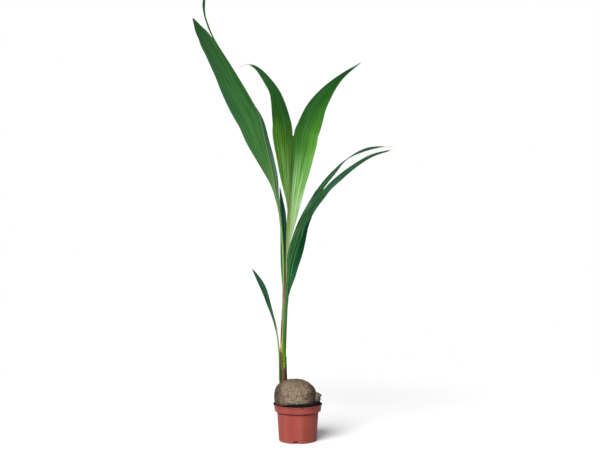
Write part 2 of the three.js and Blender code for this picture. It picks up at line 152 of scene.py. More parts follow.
# Ribs: the share of its radius that a rib has at its root, the place from 0 to 1 where it starts to
# thin out and the share that it loses, its keel and groove as shares, and the groove's half width
# in radians.
RIB_STEP = 4 * MM
RIB_SIDES = 20
RIB_ROOT_RINGS = 6
RIB_ROOT_SIZE = 0.8
RIB_THIN_FROM = 0.93
RIB_THINNING = 0.75
RIB_KEEL = 0.06
RIB_GROOVE_DEPTH = 0.34
RIB_GROOVE_WIDTH = 0.55
# Blades: the camber is a share of the width, and a dry tip is narrower by a share of it, which
# comes in over a short stretch on both sides of the place where the tip starts.
BLADE_STEP = 5 * MM
BLADE_GAP = 0.5 * MM
BLADE_LEAST_WIDTH = 2 * MM
BLADE_THICKNESS = 0.7 * MM
MARGIN_THICKNESS = 0.35 * MM
BLADE_CAMBER = 0.02
DRY_NARROWING = 0.75
DRY_BLEND = 0.01
# The share of its rib's room under which a blade's width is hidden, and the least that shows.
HIDDEN_SHARE = 0.9
LEAST_SHOWN = 0.3 * MM
# Near the rib's end a blade closes over the rib's line and then leaves it: from and to where.
CLOSING = (-30 * MM, -14 * MM)
LEAVING = (-10 * MM, 4 * MM)
# Pleats: their greatest height, their height as a share of their width, how sharp their ridges
# are, how uneven they are, and how steeply they rise beside the rib.
PLEAT_HEIGHT = 0.8 * MM
PLEAT_STEEPNESS = 0.2
PLEAT_SHARPNESS = 0.97
PLEAT_UNEVENNESS = 0.25
PLEAT_RISE = 6
COLUMNS_PER_PLEAT = 6

# Stem, in millimetres and degrees: stations of height, centre x and y, half width and half depth,
# and the leaf bases round it, whose rows are a height and the angles of their two edges.
STEM_STATIONS = [
    (222, -57, 0, 14.6, 14.4), (280, -58, 0, 13.2, 13.4), (342, -57.4, 0, 11.2, 12), (389, -56, 0, 10.2, 11),
    (466, -54, 0, 10.2, 10.4), (544, -51, 0, 9.6, 9.8), (604, -49.2, 0, 11.4, 9.4),
]
STEM_BELOW = 14
STEM_SIDES = 72
STEM_ROW = 3
SHEATH_BASE = [(226, 258, 436), (270, 255, 425), (280, 246, 300), (287, 238, 260), (309, 214, 248),
               (332, 204, 238), (352, 200, 220), (364, 206, 214)]
# The second leaf base is a dark sheet over the base sheath's right side: painted shade where the lamp's
# light doesn't reach.
SHEATH_SHADE = [(228, 292, 430), (262, 296, 420), (300, 316, 390), (326, 332, 352)]
SHEATH_YELLOW = [(342, 208, 250), (364, 208, 254), (386, 232, 260), (420, 244, 260), (456, 248, 256)]
SHEATH_TIP = [(452, 256, 276), (500, 244, 282), (560, 236, 292), (596, 244, 290), (620, 260, 272)]
# The leaf bases' rows and columns, how much of one row's jag passes on to the next, and how
# quickly the jags grow from a base's two ends.
WRAP_ROW = 3
WRAP_COLUMNS = 36
WRAP_JAG_KEPT = 0.6
WRAP_JAG_GROWTH = 8
STRAND = [(-66, -3, 352), (-66.4, -4, 380), (-65.2, -5, 420), (-64.2, -4, 466)]
STRAND_RADIUS = 0.9
STRAND_SIDES = 6
SCAR_AT = 309
SCAR_SIDES = 24
SCAR_PROFILE = [(-1.2, 0.0), (-0.6, 0.45), (0.4, 0.5), (1.2, 0.0), (0.4, -0.6), (-0.6, -0.6)]

# Pot, soil, nut and calyx, in millimetres, with nearly the same sizes as the solids.
POT = Sizes(
    height=142, wall=1.6, floor=2.4, foot_radius=71, shoulder_radius=80, shoulder_height=108.5,
    groove_height=111.5, band_low=(89.5, 115.5), band_high=(92.4, 138.4), lip_radius=95, segments=144,
    notches=4, notch_turn=-5.4, notch_low=28, notch_high=16, notch_height=10, notch_depth=13,
    notch_corner=2.5, hole_radius=4, hole_top=20, hole_sides=16,
)
BAND_STEP = [(90.7, 129.6, 0.4), (90.35, 130.5, 0.3), (91.1, 131.4, 0.4)]
SOIL = Sizes(
    heap_height=151, heap_radius=58, slope_height=147, slope_radius=80, edge_height=141,
    edge_radius=90.3, lip_reach=93.6, rings=46, sides=150,
    wall=[(90.2, 138), (87, 117.5), (77.5, 111), (76.5, 100), (69.5, 13)],
)
# Crumbs: how many are strewn, the sizes of the common and the coarse ones, the share of common
# ones, and the share of those on the lip that are left out.
CRUMBS = Sizes(count=2200, seed=21, common=(0.7, 2.0), coarse=(2.0, 3.6), common_share=0.85, off_lip=0.35)
NUT = Sizes(centre=(-9.2, 0, 170), half=(81.5, 69, 65.5), bluntness=(2.6, 2.15), ridge=0.03, ridges=3,
            rows=190, columns=300)
CALYX = Sizes(centre=(66, -3, 166.2), half=(22.5, 20, 19), bluntness=(2.4, 1.6), ridge=0.05, ridges=6,
              rows=60, columns=90)
# Loose fibres: how long they are in radians along the nut, how near to its ends they come, how far
# they stay above the soil's edge, and how high those must be that reach past it over the lip.
NUT_FIBRES = Sizes(count=420, seed=31, steps=9, sides=3, spans=(0.12, 0.5), radii=(0.18, 0.42), end=0.02,
                   over_soil=4, past_edge=2, over_lip=6)
# Dents in the husk's front: centre x and z, half height, width and depth.
NUT_DENTS = [(-1, 190, 17, 2.2, 2.2), (16, 193, 15, 2.0, 2.0), (24, 188, 12, 1.8, 1.6),
             (42, 178, 14, 3.0, 2.4)]
# Calyx scales: the way each lies, its end's place on x and distance off the axis, its half angle
# and how far its tip curls out. All start at the same place on x and distance off the axis.
CALYX_SCALES = [(88, 92, 3, 42, 2), (150, 86, 7, 40, 1.5), (205, 88, 6, 44, 1), (265, 87, 8, 42, 2.5),
                (325, 89, 6, 40, 1.5), (30, 86, 7, 42, 2)]
CALYX_SCALE_START = (61, 23)
CALYX_SCALE_GRID = (16, 15)
CALYX_SCALE_THICKNESS = 1.1
CALYX_SCALE_SEED = 2.7

# How each leaf's blades and ribs look: how brightly each blade is lit, and colours or shares by
# their places along it, in percent. A leaf without looks for its halves and back has one for all.
LOOKS = {
    "a": {
        "lit": 1.2,
        "inner": {0: "6d8f54", 12: "3f6c44", 50: "2e5a40", 90: "356044", 100: "76806a"},
        "margin": {0: "3c6642", 30: "1c482c", 70: "1d4830", 95: "38624a", 100: "76806a"},
        "warm": {0: "55804a", 100: "38663c"},
        "pale": "4f8468",
        "paleness_and_sheen": {0: 0.2, 50: 0.5, 100: 0.3},
        "deep": "163c26",
    },
    "b_left": {
        "lit": 1.5,
        "inner": {0: "8ab46e", 7: "67964f", 16: "4c823e", 30: "3c7438", 45: "396c36", 68: "37682f",
                  88: "396535", 100: "30502e"},
        "margin": {0: "648d5d", 12: "457c3c", 30: "3c7435", 50: "366838", 85: "305c38", 100: "2c4c2c"},
        "warm": {0: "6a9a50", 20: "4a8436", 100: "3c7030"},
        "pale": "447c54",
        "paleness_and_sheen": {0: 0.35, 40: 0.3, 75: 0.45, 100: 0.2},
        "deep": "265828",
    },
    "b_right": {
        "lit": 0.8,
        "inner": {0: "8cb472", 15: "6a9c68", 36: "4a8852", 46: "327440", 76: "345f3a", 84: "4a7a4c",
                  100: "48704a"},
        "margin": {0: "86ac84", 15: "6c9a7c", 36: "437f5c", 46: "2f6a40", 76: "2e573a", 84: "44724a",
                   100: "42664a"},
        "warm": {0: "7cac6c", 40: "3f7c44", 100: "2f5a3c"},
        "pale": "7fac98",
        "paleness_and_sheen": {0: 0.7, 36: 0.75, 46: 0.4, 55: 0.1, 100: 0.2},
        "deep": "1f5630",
    },
    "b_back": {
        "lit": 0.8,
        "inner": {0: "86ad5e", 20: "4c8338", 60: "3d7330", 100: "34592c"},
        "margin": {0: "6c9a52", 30: "3d7433", 100: "2f5a2a"},
        "warm": {0: "7aa450", 100: "447430"},
        "pale": "6d9c4e",
        "paleness_and_sheen": {0: 0.5, 40: 0.3, 100: 0.15},
        "deep": "295324",
    },
    "c_left": {
        "lit": 0.68,
        "inner": {0: "a8c484", 14: "98bc78", 24: "7ea85c", 33: "5c8a3e", 43: "486f2c", 52: "345826",
                  62: "244422", 92.5: "224226", 94.5: "8f8a86", 100: "a09c9a"},
        "margin": {0: "86ac5c", 12: "72a248", 22: "568830", 36: "4c7c24", 50: "3c6820", 62: "25481f",
                   92.5: "214024", 94.5: "8f8a86", 100: "a09c9a"},
        "warm": {0: "98b65a", 30: "659030", 45: "4c7424", 60: "2a4e1e", 100: "264a22"},
        "pale": "a6cc8c",
        "paleness_and_sheen": {0: 0.9, 16: 0.85, 25: 0.6, 36: 0.25, 46: 0.05, 100: 0},
        "deep": "184010",
    },
    # Leaf C's right half: its bright yellow-green lower part is partly painted light that shines through the
    # blade, and its whitish streaks there are painted sheen.
    "c_right": {
        "lit": 1.1,
        "inner": {0: "9cb57a", 15: "94ba7c", 27: "72a45e", 36: "487e34", 45: "326422", 56: "1f4d17",
                  68: "144012", 82: "143c1b", 93: "1e442c", 100: "5a7a58"},
        "margin": {0: "94b268", 20: "90b66e", 32: "70aa52", 46: "528c2e", 58: "3c7420", 70: "2c621a",
                   82: "225218", 93: "1e4624", 100: "5a7a58"},
        "warm": {0: "a2be66", 30: "70aa48", 45: "447e28", 60: "2f661d", 100: "24501c"},
        "pale": "b4d4a6",
        "paleness_and_sheen": {0: 0.8, 16: 0.9, 24: 0.7, 33: 0.28, 42: 0.03, 100: 0},
        "deep": "255c24",
    },
    "c_back": {
        "lit": 0.8,
        "inner": {0: "86a866", 25: "5c8c4c", 60: "436f3c", 93: "3c6340", 100: "9a968c"},
        "margin": {0: "7ba060", 30: "4f8142", 93: "395f3a", 100: "9a968c"},
        "warm": {0: "7fa050", 50: "487a34", 100: "3c6634"},
        "pale": "7fa67a",
        "paleness_and_sheen": {0: 0.5, 50: 0.3, 100: 0.1},
        "deep": "335c34",
    },
    "d_left": {
        "blotches": 5.5,
        "lit": 1.65,
        "inner": {0: "3f7c46", 15: "2d6438", 40: "2c5f38", 60: "35603f", 93: "3b6446", 96: "b6a89c",
                  100: "cbc2ba"},
        "margin": {0: "35703f", 20: "296038", 50: "305c40", 93: "446a50", 96: "b6a89c", 100: "cbc2ba"},
        "warm": {0: "6c8f48", 12: "5a6834", 40: "545e32", 55: "3c6238", 100: "426a46"},
        "pale": "5c9a68",
        "paleness_and_sheen": {0: 0.9, 30: 0.75, 60: 0.4, 100: 0.1},
        "deep": "103c20",
    },
    "d_right": {
        "blotches": 5.5,
        "lit": 0.5,
        "inner": {0: "4c8852", 20: "30683c", 45: "2c6038", 60: "3a6845", 96: "406a48", 98: "b6a89c",
                  100: "cbc2ba"},
        "margin": {0: "3c7050", 20: "1f5a36", 45: "2a5e3a", 60: "3c6a48", 96: "426c4a", 98: "b6a89c",
                   100: "cbc2ba"},
        "warm": {0: "4c8450", 50: "386438", 100: "3c6642"},
        "pale": "5a9670",
        "paleness_and_sheen": {0: 0.8, 40: 0.6, 100: 0.2},
        "deep": "12401f",
    },
    "d_back": {
        "lit": 0.8,
        "inner": {0: "4d8250", 40: "3a6e3c", 93: "3c6640", 97: "a89a8c", 100: "c0b6ac"},
        "margin": {0: "457a49", 50: "336536", 93: "38603c", 97: "a89a8c", 100: "c0b6ac"},
        "warm": {0: "4f8440", 100: "3f6c38"},
        "pale": "5f9457",
        "paleness_and_sheen": {0: 0.4, 100: 0.1},
        "deep": "25502c",
    },
    "e": {
        "lit": 0.7,
        "inner": {0: "2c6034", 30: "265032", 88: "224438", 94: "3f6054", 100: "c4b8b4"},
        "margin": {0: "285c2c", 30: "1f4c28", 60: "1c462c", 88: "1c4238", 94: "3f6054", 100: "c4b8b4"},
        "warm": {0: "2a5c30", 100: "20502c"},
        "pale": "2c4c5c",
        "paleness_and_sheen": {0: 0.3, 100: 0.6},
        "deep": "1c4428",
    },
}
RIB_LOOKS = {
    "a": {
        "left": {0: "5f8c54", 12: "629050", 20: "64944c", 30: "7fa550", 42: "6f924a", 50: "41694a",
                 100: "2f5c3a"},
        "middle": {0: "2c5c2e", 12: "33642e", 20: "62904a", 30: "93b055", 42: "8fa050", 52: "45704a",
                   100: "2c5a38"},
        "right": {0: "264c28", 12: "2c542a", 20: "55803f", 30: "a3ad55", 42: "a3a95a", 52: "3f6a44",
                  100: "2a5636"},
    },
    "b": {
        "left": {0: "7fae68", 12: "8ab55c", 25: "7f9a54", 33: "5f8c50", 45: "3f7040", 100: "39683a"},
        "middle": {0: "86b572", 12: "93b960", 25: "8aa35c", 33: "86a862", 45: "8c9f5f", 62: "78985a",
                   75: "4c7a42", 100: "3a6c36"},
        "right": {0: "74a85c", 12: "6f9f4c", 25: "6c9658", 33: "5c8a60", 45: "47705a", 100: "38643c"},
        "bands": (0.3, 0.44, 0.56, 0.7),
    },
    # Leaf C's rib darkens to deep green up to the crotch: partly its own colour, partly painted shade in the
    # fold there.
    "c": {
        "left": {0: "a08860", 15: "8f8f60", 35: "7f9452", 50: "6c8a48", 70: "4c7434", 100: "2c5a22"},
        "middle": {0: "a59a70", 15: "a8ab74", 30: "a3ab6a", 45: "988f62", 60: "737e4c", 75: "475f34",
                   88: "35522a", 100: "2e5626"},
        "right": {0: "cdc79a", 12: "d2d0a0", 25: "b8bd7c", 40: "9fb56c", 60: "78a05a", 78: "41662f",
                  100: "2f5a28"},
        "bands": (0.2, 0.42, 0.55, 0.75),
    },
    "d": {
        "left": {0: "7f9a30", 5: "5c8f2c", 14: "4f7840", 30: "3f8040", 42: "3c7d45", 60: "34703c",
                 100: "2d5f38"},
        "middle": {0: "88a030", 5: "4f9220", 14: "2f7222", 30: "467c42", 42: "3f7d42", 55: "45703f",
                   80: "52683e", 100: "3a603c"},
        "right": {0: "668a2a", 5: "3f8222", 14: "2a6622", 30: "3c7f44", 42: "357040", 60: "2c6236",
                  100: "2c5c38"},
        "bands": (0.3, 0.42, 0.58, 0.7),
    },
    "e": {
        "left": {0: "2a6038", 100: "123c28"},
        "middle": {0: "2a6038", 100: "14402a"},
        "right": {0: "24583a", 100: "102f26"},
    },
}


# Curves


def smooth(values, t):
    """The value on a list at even steps, on a smooth curve from t = 0 to t = 1."""
    values = np.asarray(values, float)
    if len(values) == 1:
        return np.broadcast_to(values[0], t.shape + values.shape[1:]).copy()
    steps = len(values) - 1
    at = np.clip(t, 0, 1) * steps
    i = np.minimum(at.astype(int), steps - 1)
    f = (at - i).reshape(t.shape + (1,) * (values.ndim - 1))
    ends = 2 * values[:1] - values[1:2], 2 * values[-1:] - values[-2:-1]
    a, b, c, d = (np.concatenate([ends[0], values, ends[1]])[i + k] for k in range(4))
    bend = 2 * a - 5 * b + 4 * c - d
    return 0.5 * (2 * b + (c - a) * f + bend * f**2 + (3 * b - a - 3 * c + d) * f**3)


def ease(low, high, value):
    """0 below low, 1 above high, and a smooth step between them."""
    f = np.clip((value - low) / (high - low), 0, 1)
    return f * f * (3 - 2 * f)


def lengths_along(points):
    return np.concatenate([[0], np.cumsum(np.linalg.norm(np.diff(points, axis=0), axis=1))])


def at_lengths(points, lengths, wanted):
    """The points or values at the wanted lengths along a line."""
    if points.ndim == 1:
        return np.interp(wanted, lengths, points)
    return np.stack([np.interp(wanted, lengths, points[:, k]) for k in range(points.shape[1])], 1)


def unit(vectors):
    return vectors / np.linalg.norm(vectors, axis=-1, keepdims=True)


def axes_at(points, lengths, wanted, reach=TANGENT_REACH):
    """A line's direction at the wanted lengths, and the forward and sideways ones across it."""
    before = at_lengths(points, lengths, np.maximum(wanted - reach, 0))
    after = at_lengths(points, lengths, np.minimum(wanted + reach, lengths[-1]))
    tangents = unit(after - before)
    facing = unit(FRONT - tangents * (tangents @ FRONT)[:, None])
    return tangents, facing, np.cross(tangents, facing)


def turns_of(sides):
    return np.linspace(0, TURN, sides, endpoint=False)


def rings_round(places, facing, sideways, reach, turns):
    """Rings of points round a line, each point as far off it as its reach."""
    across = (reach * np.cos(turns))[..., None] * sideways[:, None]
    return places[:, None] + across + (reach * np.sin(turns))[..., None] * facing[:, None]


# Meshes


def placed(name, data):
    """An object of the scene."""
    item = bpy.data.objects.new(name, data)
    bpy.context.scene.collection.objects.link(item)
    return item


def new_mesh(name, points, faces):
    """A closed mesh whose faces all look outwards."""
    mesh = bpy.data.meshes.new(name)
    mesh.from_pydata([tuple(p) for p in points], [], [tuple(f) for f in faces])
    work = bmesh.new()
    work.from_mesh(mesh)
    bmesh.ops.recalc_face_normals(work, faces=work.faces)
    work.to_mesh(mesh)
    work.free()
    return mesh


def add_piece(name, mesh, materials, nodes, sharp=50):
    """A piece of the plant: it rides on the body and stands for the CAD nodes."""
    for material in materials:
        mesh.materials.append(material)
    mesh.polygons.foreach_set("use_smooth", [True] * len(mesh.polygons))
    mesh.set_sharp_from_angle(angle=math.radians(sharp))
    mesh.update()
    piece = placed(name, mesh)
    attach(piece, BODY)
    if nodes:
        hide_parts(*nodes)
    return piece


def new_piece(name, points, faces, materials, nodes, uvs=None, looks=None, sharp=50):
    """A piece from points in metres, with each point's place on it and each face's material."""
    mesh = new_mesh(name, points, faces)
    if uvs is not None:
        corners = np.zeros(len(mesh.loops), int)
        mesh.loops.foreach_get("vertex_index", corners)
        layer = mesh.uv_layers.new(name="Place")
        layer.data.foreach_set("uv", np.asarray(uvs, float)[corners].ravel())
    if looks is not None:
        mesh.polygons.foreach_set("material_index", looks)
    return add_piece(name, mesh, materials, nodes, sharp)


def skin(rings, sides, closed=False):
    """The faces between rings of points, and from the last ring to the first where it is closed."""
    total = rings * sides
    faces = []
    for start in range(0, total if closed else total - sides, sides):
        for s in range(sides):
            a, b = start + s, start + (s + 1) % sides
            faces.append((a, b, (b + sides) % total, (a + sides) % total))
    return faces


def tube_faces(rings, sides):
    """The faces of a closed tube: a skin over rings of points, and a fan to a point at each end."""
    faces = skin(rings, sides)
    low, high = rings * sides, rings * sides + 1
    last = low - sides
    for s in range(sides):
        after = (s + 1) % sides
        faces += [(low, after, s), (high, last + s, last + after)]
    return faces


def new_tube(name, rings, ends, across, along, material, nodes):
    """A closed tube over rings of points, and the place on it of each ring and each side."""
    verts = [*np.reshape(rings, (-1, 3)), *ends]
    uvs = [(u, v) for v in along for u in across] + [(0.5, 0), (0.5, 1)]
    return new_piece(name, verts, tube_faces(len(rings), len(across)), [material], nodes, uvs)


def edge_loop(rows, cols):
    """The pairs of neighbours round the edge of a grid of points."""
    loop = [r * cols for r in range(rows)]
    loop += [(rows - 1) * cols + c for c in range(1, cols)]
    loop += [r * cols + cols - 1 for r in range(rows - 2, -1, -1)]
    loop += list(range(cols - 2, 0, -1))
    return zip(loop, loop[1:] + loop[:1])


def new_sheet(name, outside, inside, rows, uvs, materials, nodes, slot):
    """A closed thin sheet between two grids of points. Its inside has the last material."""
    cols = len(outside) // rows
    back = rows * cols
    faces = []
    for row in range(rows - 1):
        for a in range(row * cols, row * cols + cols - 1):
            quad = (a, a + 1, a + cols + 1, a + cols)
            faces += [quad, tuple(back + i for i in quad[::-1])]
    looks = [0, len(materials) - 1] * (len(faces) // 2)
    rim = [(a, b, back + b, back + a) for a, b in edge_loop(rows, cols)]
    looks += [0] * len(rim)
    return new_piece(name, [*outside, *inside], faces + rim, materials, nodes, [*uvs, *uvs], looks)


# Leaves


def rib_line(leaf):
    """The rib's points from its root to the crotch or tip, and their lengths along it."""
    t = np.linspace(0, 1, CURVE_SAMPLES * (len(leaf.rib) - 1) + 1)
    points = smooth(np.array(leaf.rib) * MM, t)
    return points, lengths_along(points)


def make_rib(name, leaf, material):
    """A petiole and midrib: a tube with a groove along one side, from its root to its thin end."""
    points, lengths = rib_line(leaf)
    wanted = np.linspace(0, lengths[-1], math.ceil(lengths[-1] / RIB_STEP) + 1)
    t = wanted / lengths[-1]
    places = at_lengths(points, lengths, wanted)
    _, facing, sideways = axes_at(points, lengths, wanted)
    size = smooth(np.array(leaf.radii) * MM, t) * (1 - RIB_THINNING * ease(RIB_THIN_FROM, 1, t))
    root = np.array(leaf.root) * MM
    lead = np.arange(RIB_ROOT_RINGS)[:, None] / RIB_ROOT_RINGS
    places = np.concatenate([root + (places[0] - root) * lead, places])
    size = np.concatenate([np.linspace(size[0] * RIB_ROOT_SIZE, size[0], RIB_ROOT_RINGS), size])
    t, facing, sideways = (np.concatenate([np.repeat(values[:1], RIB_ROOT_RINGS, 0), values])
                           for values in (t, facing, sideways))
    turns = turns_of(RIB_SIDES)
    off = np.angle(np.exp(1j * (turns - math.pi / 2 * leaf.groove)))
    shape = 1 - RIB_GROOVE_DEPTH * np.exp(-((off / RIB_GROOVE_WIDTH) ** 2)) + RIB_KEEL * np.cos(2 * off)
    rings = rings_round(places, facing, sideways, size[:, None] * shape, turns)
    ends = places[[0, -1]]
    return new_tube(f"{name}_skin", rings, ends, 0.5 + 0.5 * np.cos(turns), t, material, [name])


def blade_rail(leaf, half):
    """A half blade's inner line, how far the blade keeps off it, its lengths, and how long it
    follows the rib before it goes on as its own lobe."""
    line, lengths = rib_line(leaf)
    start = lengths[half.start * CURVE_SAMPLES] - leaf.foot * MM
    travelled = np.linspace(start, lengths[-1], len(line))
    points = at_lengths(line, lengths, travelled)
    clear = smooth(np.array(leaf.radii) * MM, travelled / lengths[-1]) + BLADE_GAP
    split = len(points) - 1
    if half.lobe:
        lobe = np.array([*leaf.rib[-2:], *half.lobe]) * MM
        spans = len(lobe) - 1
        f = np.linspace(0, 1, CURVE_SAMPLES * (spans - 1) + 1)[1:]
        points = np.concatenate([points, smooth(lobe, 1 / spans + (1 - 1 / spans) * f)])
        clear = np.concatenate([clear, clear[-1] * (1 - f)])
    lengths = lengths_along(points)
    return points, clear, lengths, lengths[split]


def blade_width(half, t, foot, clear):
    """How far the margin lies off the inner line. It is narrower down at its foot and where dry."""
    width = np.maximum(smooth(np.array(half.widths) * MM, t), clear + BLADE_LEAST_WIDTH)
    corner, run, reach = half.corner
    width += reach * MM * np.where(t < corner, np.clip((t - corner + run) / run, 0, 1), 0)
    hidden = clear * HIDDEN_SHARE
    dry = ease(half.dry - DRY_BLEND, half.dry + DRY_BLEND, t)
    shown = (width - hidden) * (1 - DRY_NARROWING * dry) * foot
    return hidden + np.maximum(shown, LEAST_SHOWN)


def blade_lift(leaf, span, u):
    """How far the blade's pleats and camber lift it off its plane."""
    wave = np.arcsin(PLEAT_SHARPNESS * np.sin(TURN * leaf.pleats * u)) * 2 / math.pi
    uneven = 1 + PLEAT_UNEVENNESS * (np.sin(TURN * 1.7 * u + 9 * leaf.foot) - 1)
    height = np.minimum(PLEAT_HEIGHT, PLEAT_STEEPNESS * span / leaf.pleats) * uneven
    camber = BLADE_CAMBER * span * 4 * u * (1 - u)
    return height * wave * np.minimum(u * PLEAT_RISE, 1) + camber * leaf.groove


def make_half_blade(name, leaf, half, side, materials, slot):
    """A thin pleated half blade on one side of its rib (-1 is the left), folded up or down."""
    points, clear, lengths, split = blade_rail(leaf, half)
    rows = math.ceil(lengths[-1] / BLADE_STEP) + 1
    wanted = np.linspace(0, lengths[-1], rows)
    foot = leaf.foot * MM
    t = np.maximum(wanted - foot, 0) / (lengths[-1] - foot)
    places = at_lengths(points, lengths, wanted)
    clear = at_lengths(clear, lengths, wanted)
    tangents, facing, sideways = axes_at(points, lengths, wanted)
    fold = np.radians(smooth(half.folds, t))[:, None]
    across = sideways * side * np.cos(fold) + facing * np.sin(fold)
    outward = np.cross(tangents, across) * -side
    width = blade_width(half, t, np.minimum(wanted / foot, 1), clear)
    closing, leaving = (ease(split + low, split + high, wanted) for low, high in (CLOSING, LEAVING))
    inner = clear * (0.5 * (1 - closing) + leaving)
    u = np.linspace(0, 1, leaf.pleats * COLUMNS_PER_PLEAT + 1)
    span = (width - inner)[:, None]
    reach = inner[:, None] + span * u
    lift = blade_lift(leaf, span, u)
    middle = places[:, None] + across[:, None] * reach[..., None] + outward[:, None] * lift[..., None]
    thickness = BLADE_THICKNESS + (MARGIN_THICKNESS - BLADE_THICKNESS) * u
    shift = outward[:, None] * thickness[None, :, None] / 2
    sheets = [(middle + shift * way).reshape(-1, 3) for way in (1, -1)]
    uvs = [(x, y) for y in t for x in u]
    return new_sheet(f"{name}_blade", *sheets, rows, uvs, materials, [name], slot)


# Materials


class Value:
    """What a node puts out. A sum, difference or product of values is a node too."""

    def __init__(self, shader, socket):
        self.shader = shader
        self.socket = socket

    def __add__(self, other):
        return self.shader.math("ADD", self, other)

    def __sub__(self, other):
        return self.shader.math("SUBTRACT", self, other)

    def __mul__(self, other):
        return self.shader.math("MULTIPLY", self, other)

    def __abs__(self):
        return self.shader.math("ABSOLUTE", self)


def linear(channel):
    return channel / 12.92 if channel <= 0.04045 else ((channel + 0.055) / 1.055) ** 2.4


def grey(value):
    return value, value, value, 1


class Shader:
    """A material's nodes. A colour is a value, or the code that it shows as once it is lit."""

    def __init__(self, name, roughness=0.5, specular=0.5, lit=LIT):
        self.lit = lit
        self.u = self.v = None
        self.material = bpy.data.materials.new(name)
        self.material.use_nodes = True
        self.tree = self.material.node_tree
        self.surface = self.tree.nodes["Principled BSDF"]
        self.surface.inputs["Roughness"].default_value = roughness
        self.surface.inputs["Specular IOR Level"].default_value = specular

    def add(self, kind, output, inputs=None, **settings):
        """Adds a node and gives the value of one of its outputs."""
        node = self.tree.nodes.new("ShaderNode" + kind)
        for key, setting in settings.items():
            setattr(node, key, setting)
        for key, value in (inputs or {}).items():
            self.feed(node.inputs[key], value)
        return Value(self, node.outputs[output])

    def feed(self, socket, value):
        if isinstance(value, Value):
            self.tree.links.new(value.socket, socket)
        else:
            socket.default_value = self.seen(value) if isinstance(value, str) else value

    def seen(self, code):
        """The base colour of a surface that shows as this code once it is lit."""
        channels = [linear(int(code[i:i + 2], 16) / 255) for i in (0, 2, 4)]
        return (*(max(c - GLOSS, DARKEST) / self.lit for c in channels), 1)

    def place(self):
        """Across and along a piece, each from 0 to 1."""
        place = self.add("UVMap", "UV", uv_map="Place")
        self.u, self.v = self.part(place, "X"), self.part(place, "Y")
        return self.u, self.v

    def position(self):
        return self.add("TexCoord", "Object")

    def part(self, vector, axis):
        return self.add("SeparateXYZ", axis, {"Vector": vector})

    def vector(self, x, y, z=0.0):
        return self.add("CombineXYZ", "Vector", {"X": x, "Y": y, "Z": z})

    def scaled(self, vector, factors):
        return self.add("VectorMath", "Vector", {0: vector, 1: factors}, operation="MULTIPLY")

    def math(self, operation, *values):
        return self.add("Math", "Value", dict(enumerate(values)), operation=operation)

    def noise(self, vector, scale=1.0, detail=3.0, roughness=0.55, distortion=0.0):
        return self.add("TexNoise", "Fac", {"Vector": vector, "Scale": scale, "Detail": detail,
                                            "Roughness": roughness, "Distortion": distortion})

    def patches(self, across, along, offset=0.0, detail=3.0):
        """Noise over a piece, with so much of it across and along."""
        return self.noise(self.vector(self.u * across, self.v * along, offset), 1.0, detail)

    def step(self, value, low, high, to_low=0.0, to_high=1.0):
        """A smooth step of a value between two limits."""
        inputs = {"Value": value, "From Min": low, "From Max": high, "To Min": to_low, "To Max": to_high}
        return self.add("MapRange", "Result", inputs, interpolation_type="SMOOTHSTEP")

    def ramp(self, value, stops):
        """A colour or number by a value: each place in percent has a colour's code or a number."""
        result = self.add("ValToRGB", "Color", {"Fac": value})
        elements = result.socket.node.color_ramp.elements
        for _ in range(2, len(stops)):
            elements.new(0.5)
        for element, (place, what) in zip(elements, stops.items()):
            element.position = place / 100
            element.color = self.seen(what) if isinstance(what, str) else grey(what)
        return result

    def mix(self, factor, a, b):
        return self.add("Mix", 2, {0: factor, 6: a, 7: b}, data_type="RGBA")

    def cover(self, under, value, low, high, share, over):
        """Covers a colour with a share of another where a value steps from low to high."""
        return self.mix(self.step(value, low, high, 0, share), under, over)

    def bump(self, height, distance, strength=1.0):
        inputs = {"Height": height, "Distance": distance, "Strength": strength}
        self.feed(self.surface.inputs["Normal"], self.add("Bump", "Normal", inputs))

    def finish(self, colour, roughness=None):
        self.feed(self.surface.inputs["Base Color"], colour)
        if roughness is not None:
            self.feed(self.surface.inputs["Roughness"], roughness)
        return self.material


def blade_material(name, pleats, seed, crease, lit, inner, margin, warm, pale, paleness_and_sheen, deep, blotches=2.2):
    """A pleated leaf: colours along it by its rib and by its margin, warm blotches, pale and deep streaks
    between the veins, and fine veins as relief. The pale streaks are partly the leaf's own paler colour and
    partly a painted sheen."""
    shader = Shader(name, roughness=0.5, specular=0.04, lit=lit)
    u, v = shader.place()
    across = u + (shader.patches(2, 5, seed) - 0.5) * 0.22
    near_margin = shader.step(across, 0.25, 0.95)
    colour = shader.mix(near_margin, shader.ramp(v, inner), shader.ramp(v, margin))
    blotch = shader.patches(0.45 * pleats, blotches, seed + 20)
    colour = shader.cover(colour, blotch, 0.48, 0.62, 0.5, shader.ramp(v, warm))
    wide = shader.patches(1.35 * pleats, 1.6 * blotches, seed + 3.1, detail=2)
    fine = shader.patches(5 * pleats, 6, seed + 9.7)
    streak = wide * 0.6 + fine * 0.4 + shader.math("SINE", across * (TURN * pleats)) * 0.05
    # Pale streaks: partly the leaf's own paler colour, partly a painted sheen along the pleats.
    light = shader.step(streak, 0.47, 0.62) * shader.ramp(v, paleness_and_sheen)
    light = light * shader.step(across, 0.0, 0.3, 0.35, 1)
    colour = shader.cover(colour, streak, 0.52, 0.38, 0.55, deep)
    colour = shader.mix(light, colour, pale)
    # A half that has one gets painted shade along a fold.
    if crease:
        colour = crease(shader, u, v, colour)
    shader.bump(shader.math("SINE", u * (TURN * 3 * pleats)), 0.0001, 0.5)
    return shader.finish(colour, shader.step(fine, 0.3, 0.7, 0.36, 0.52))


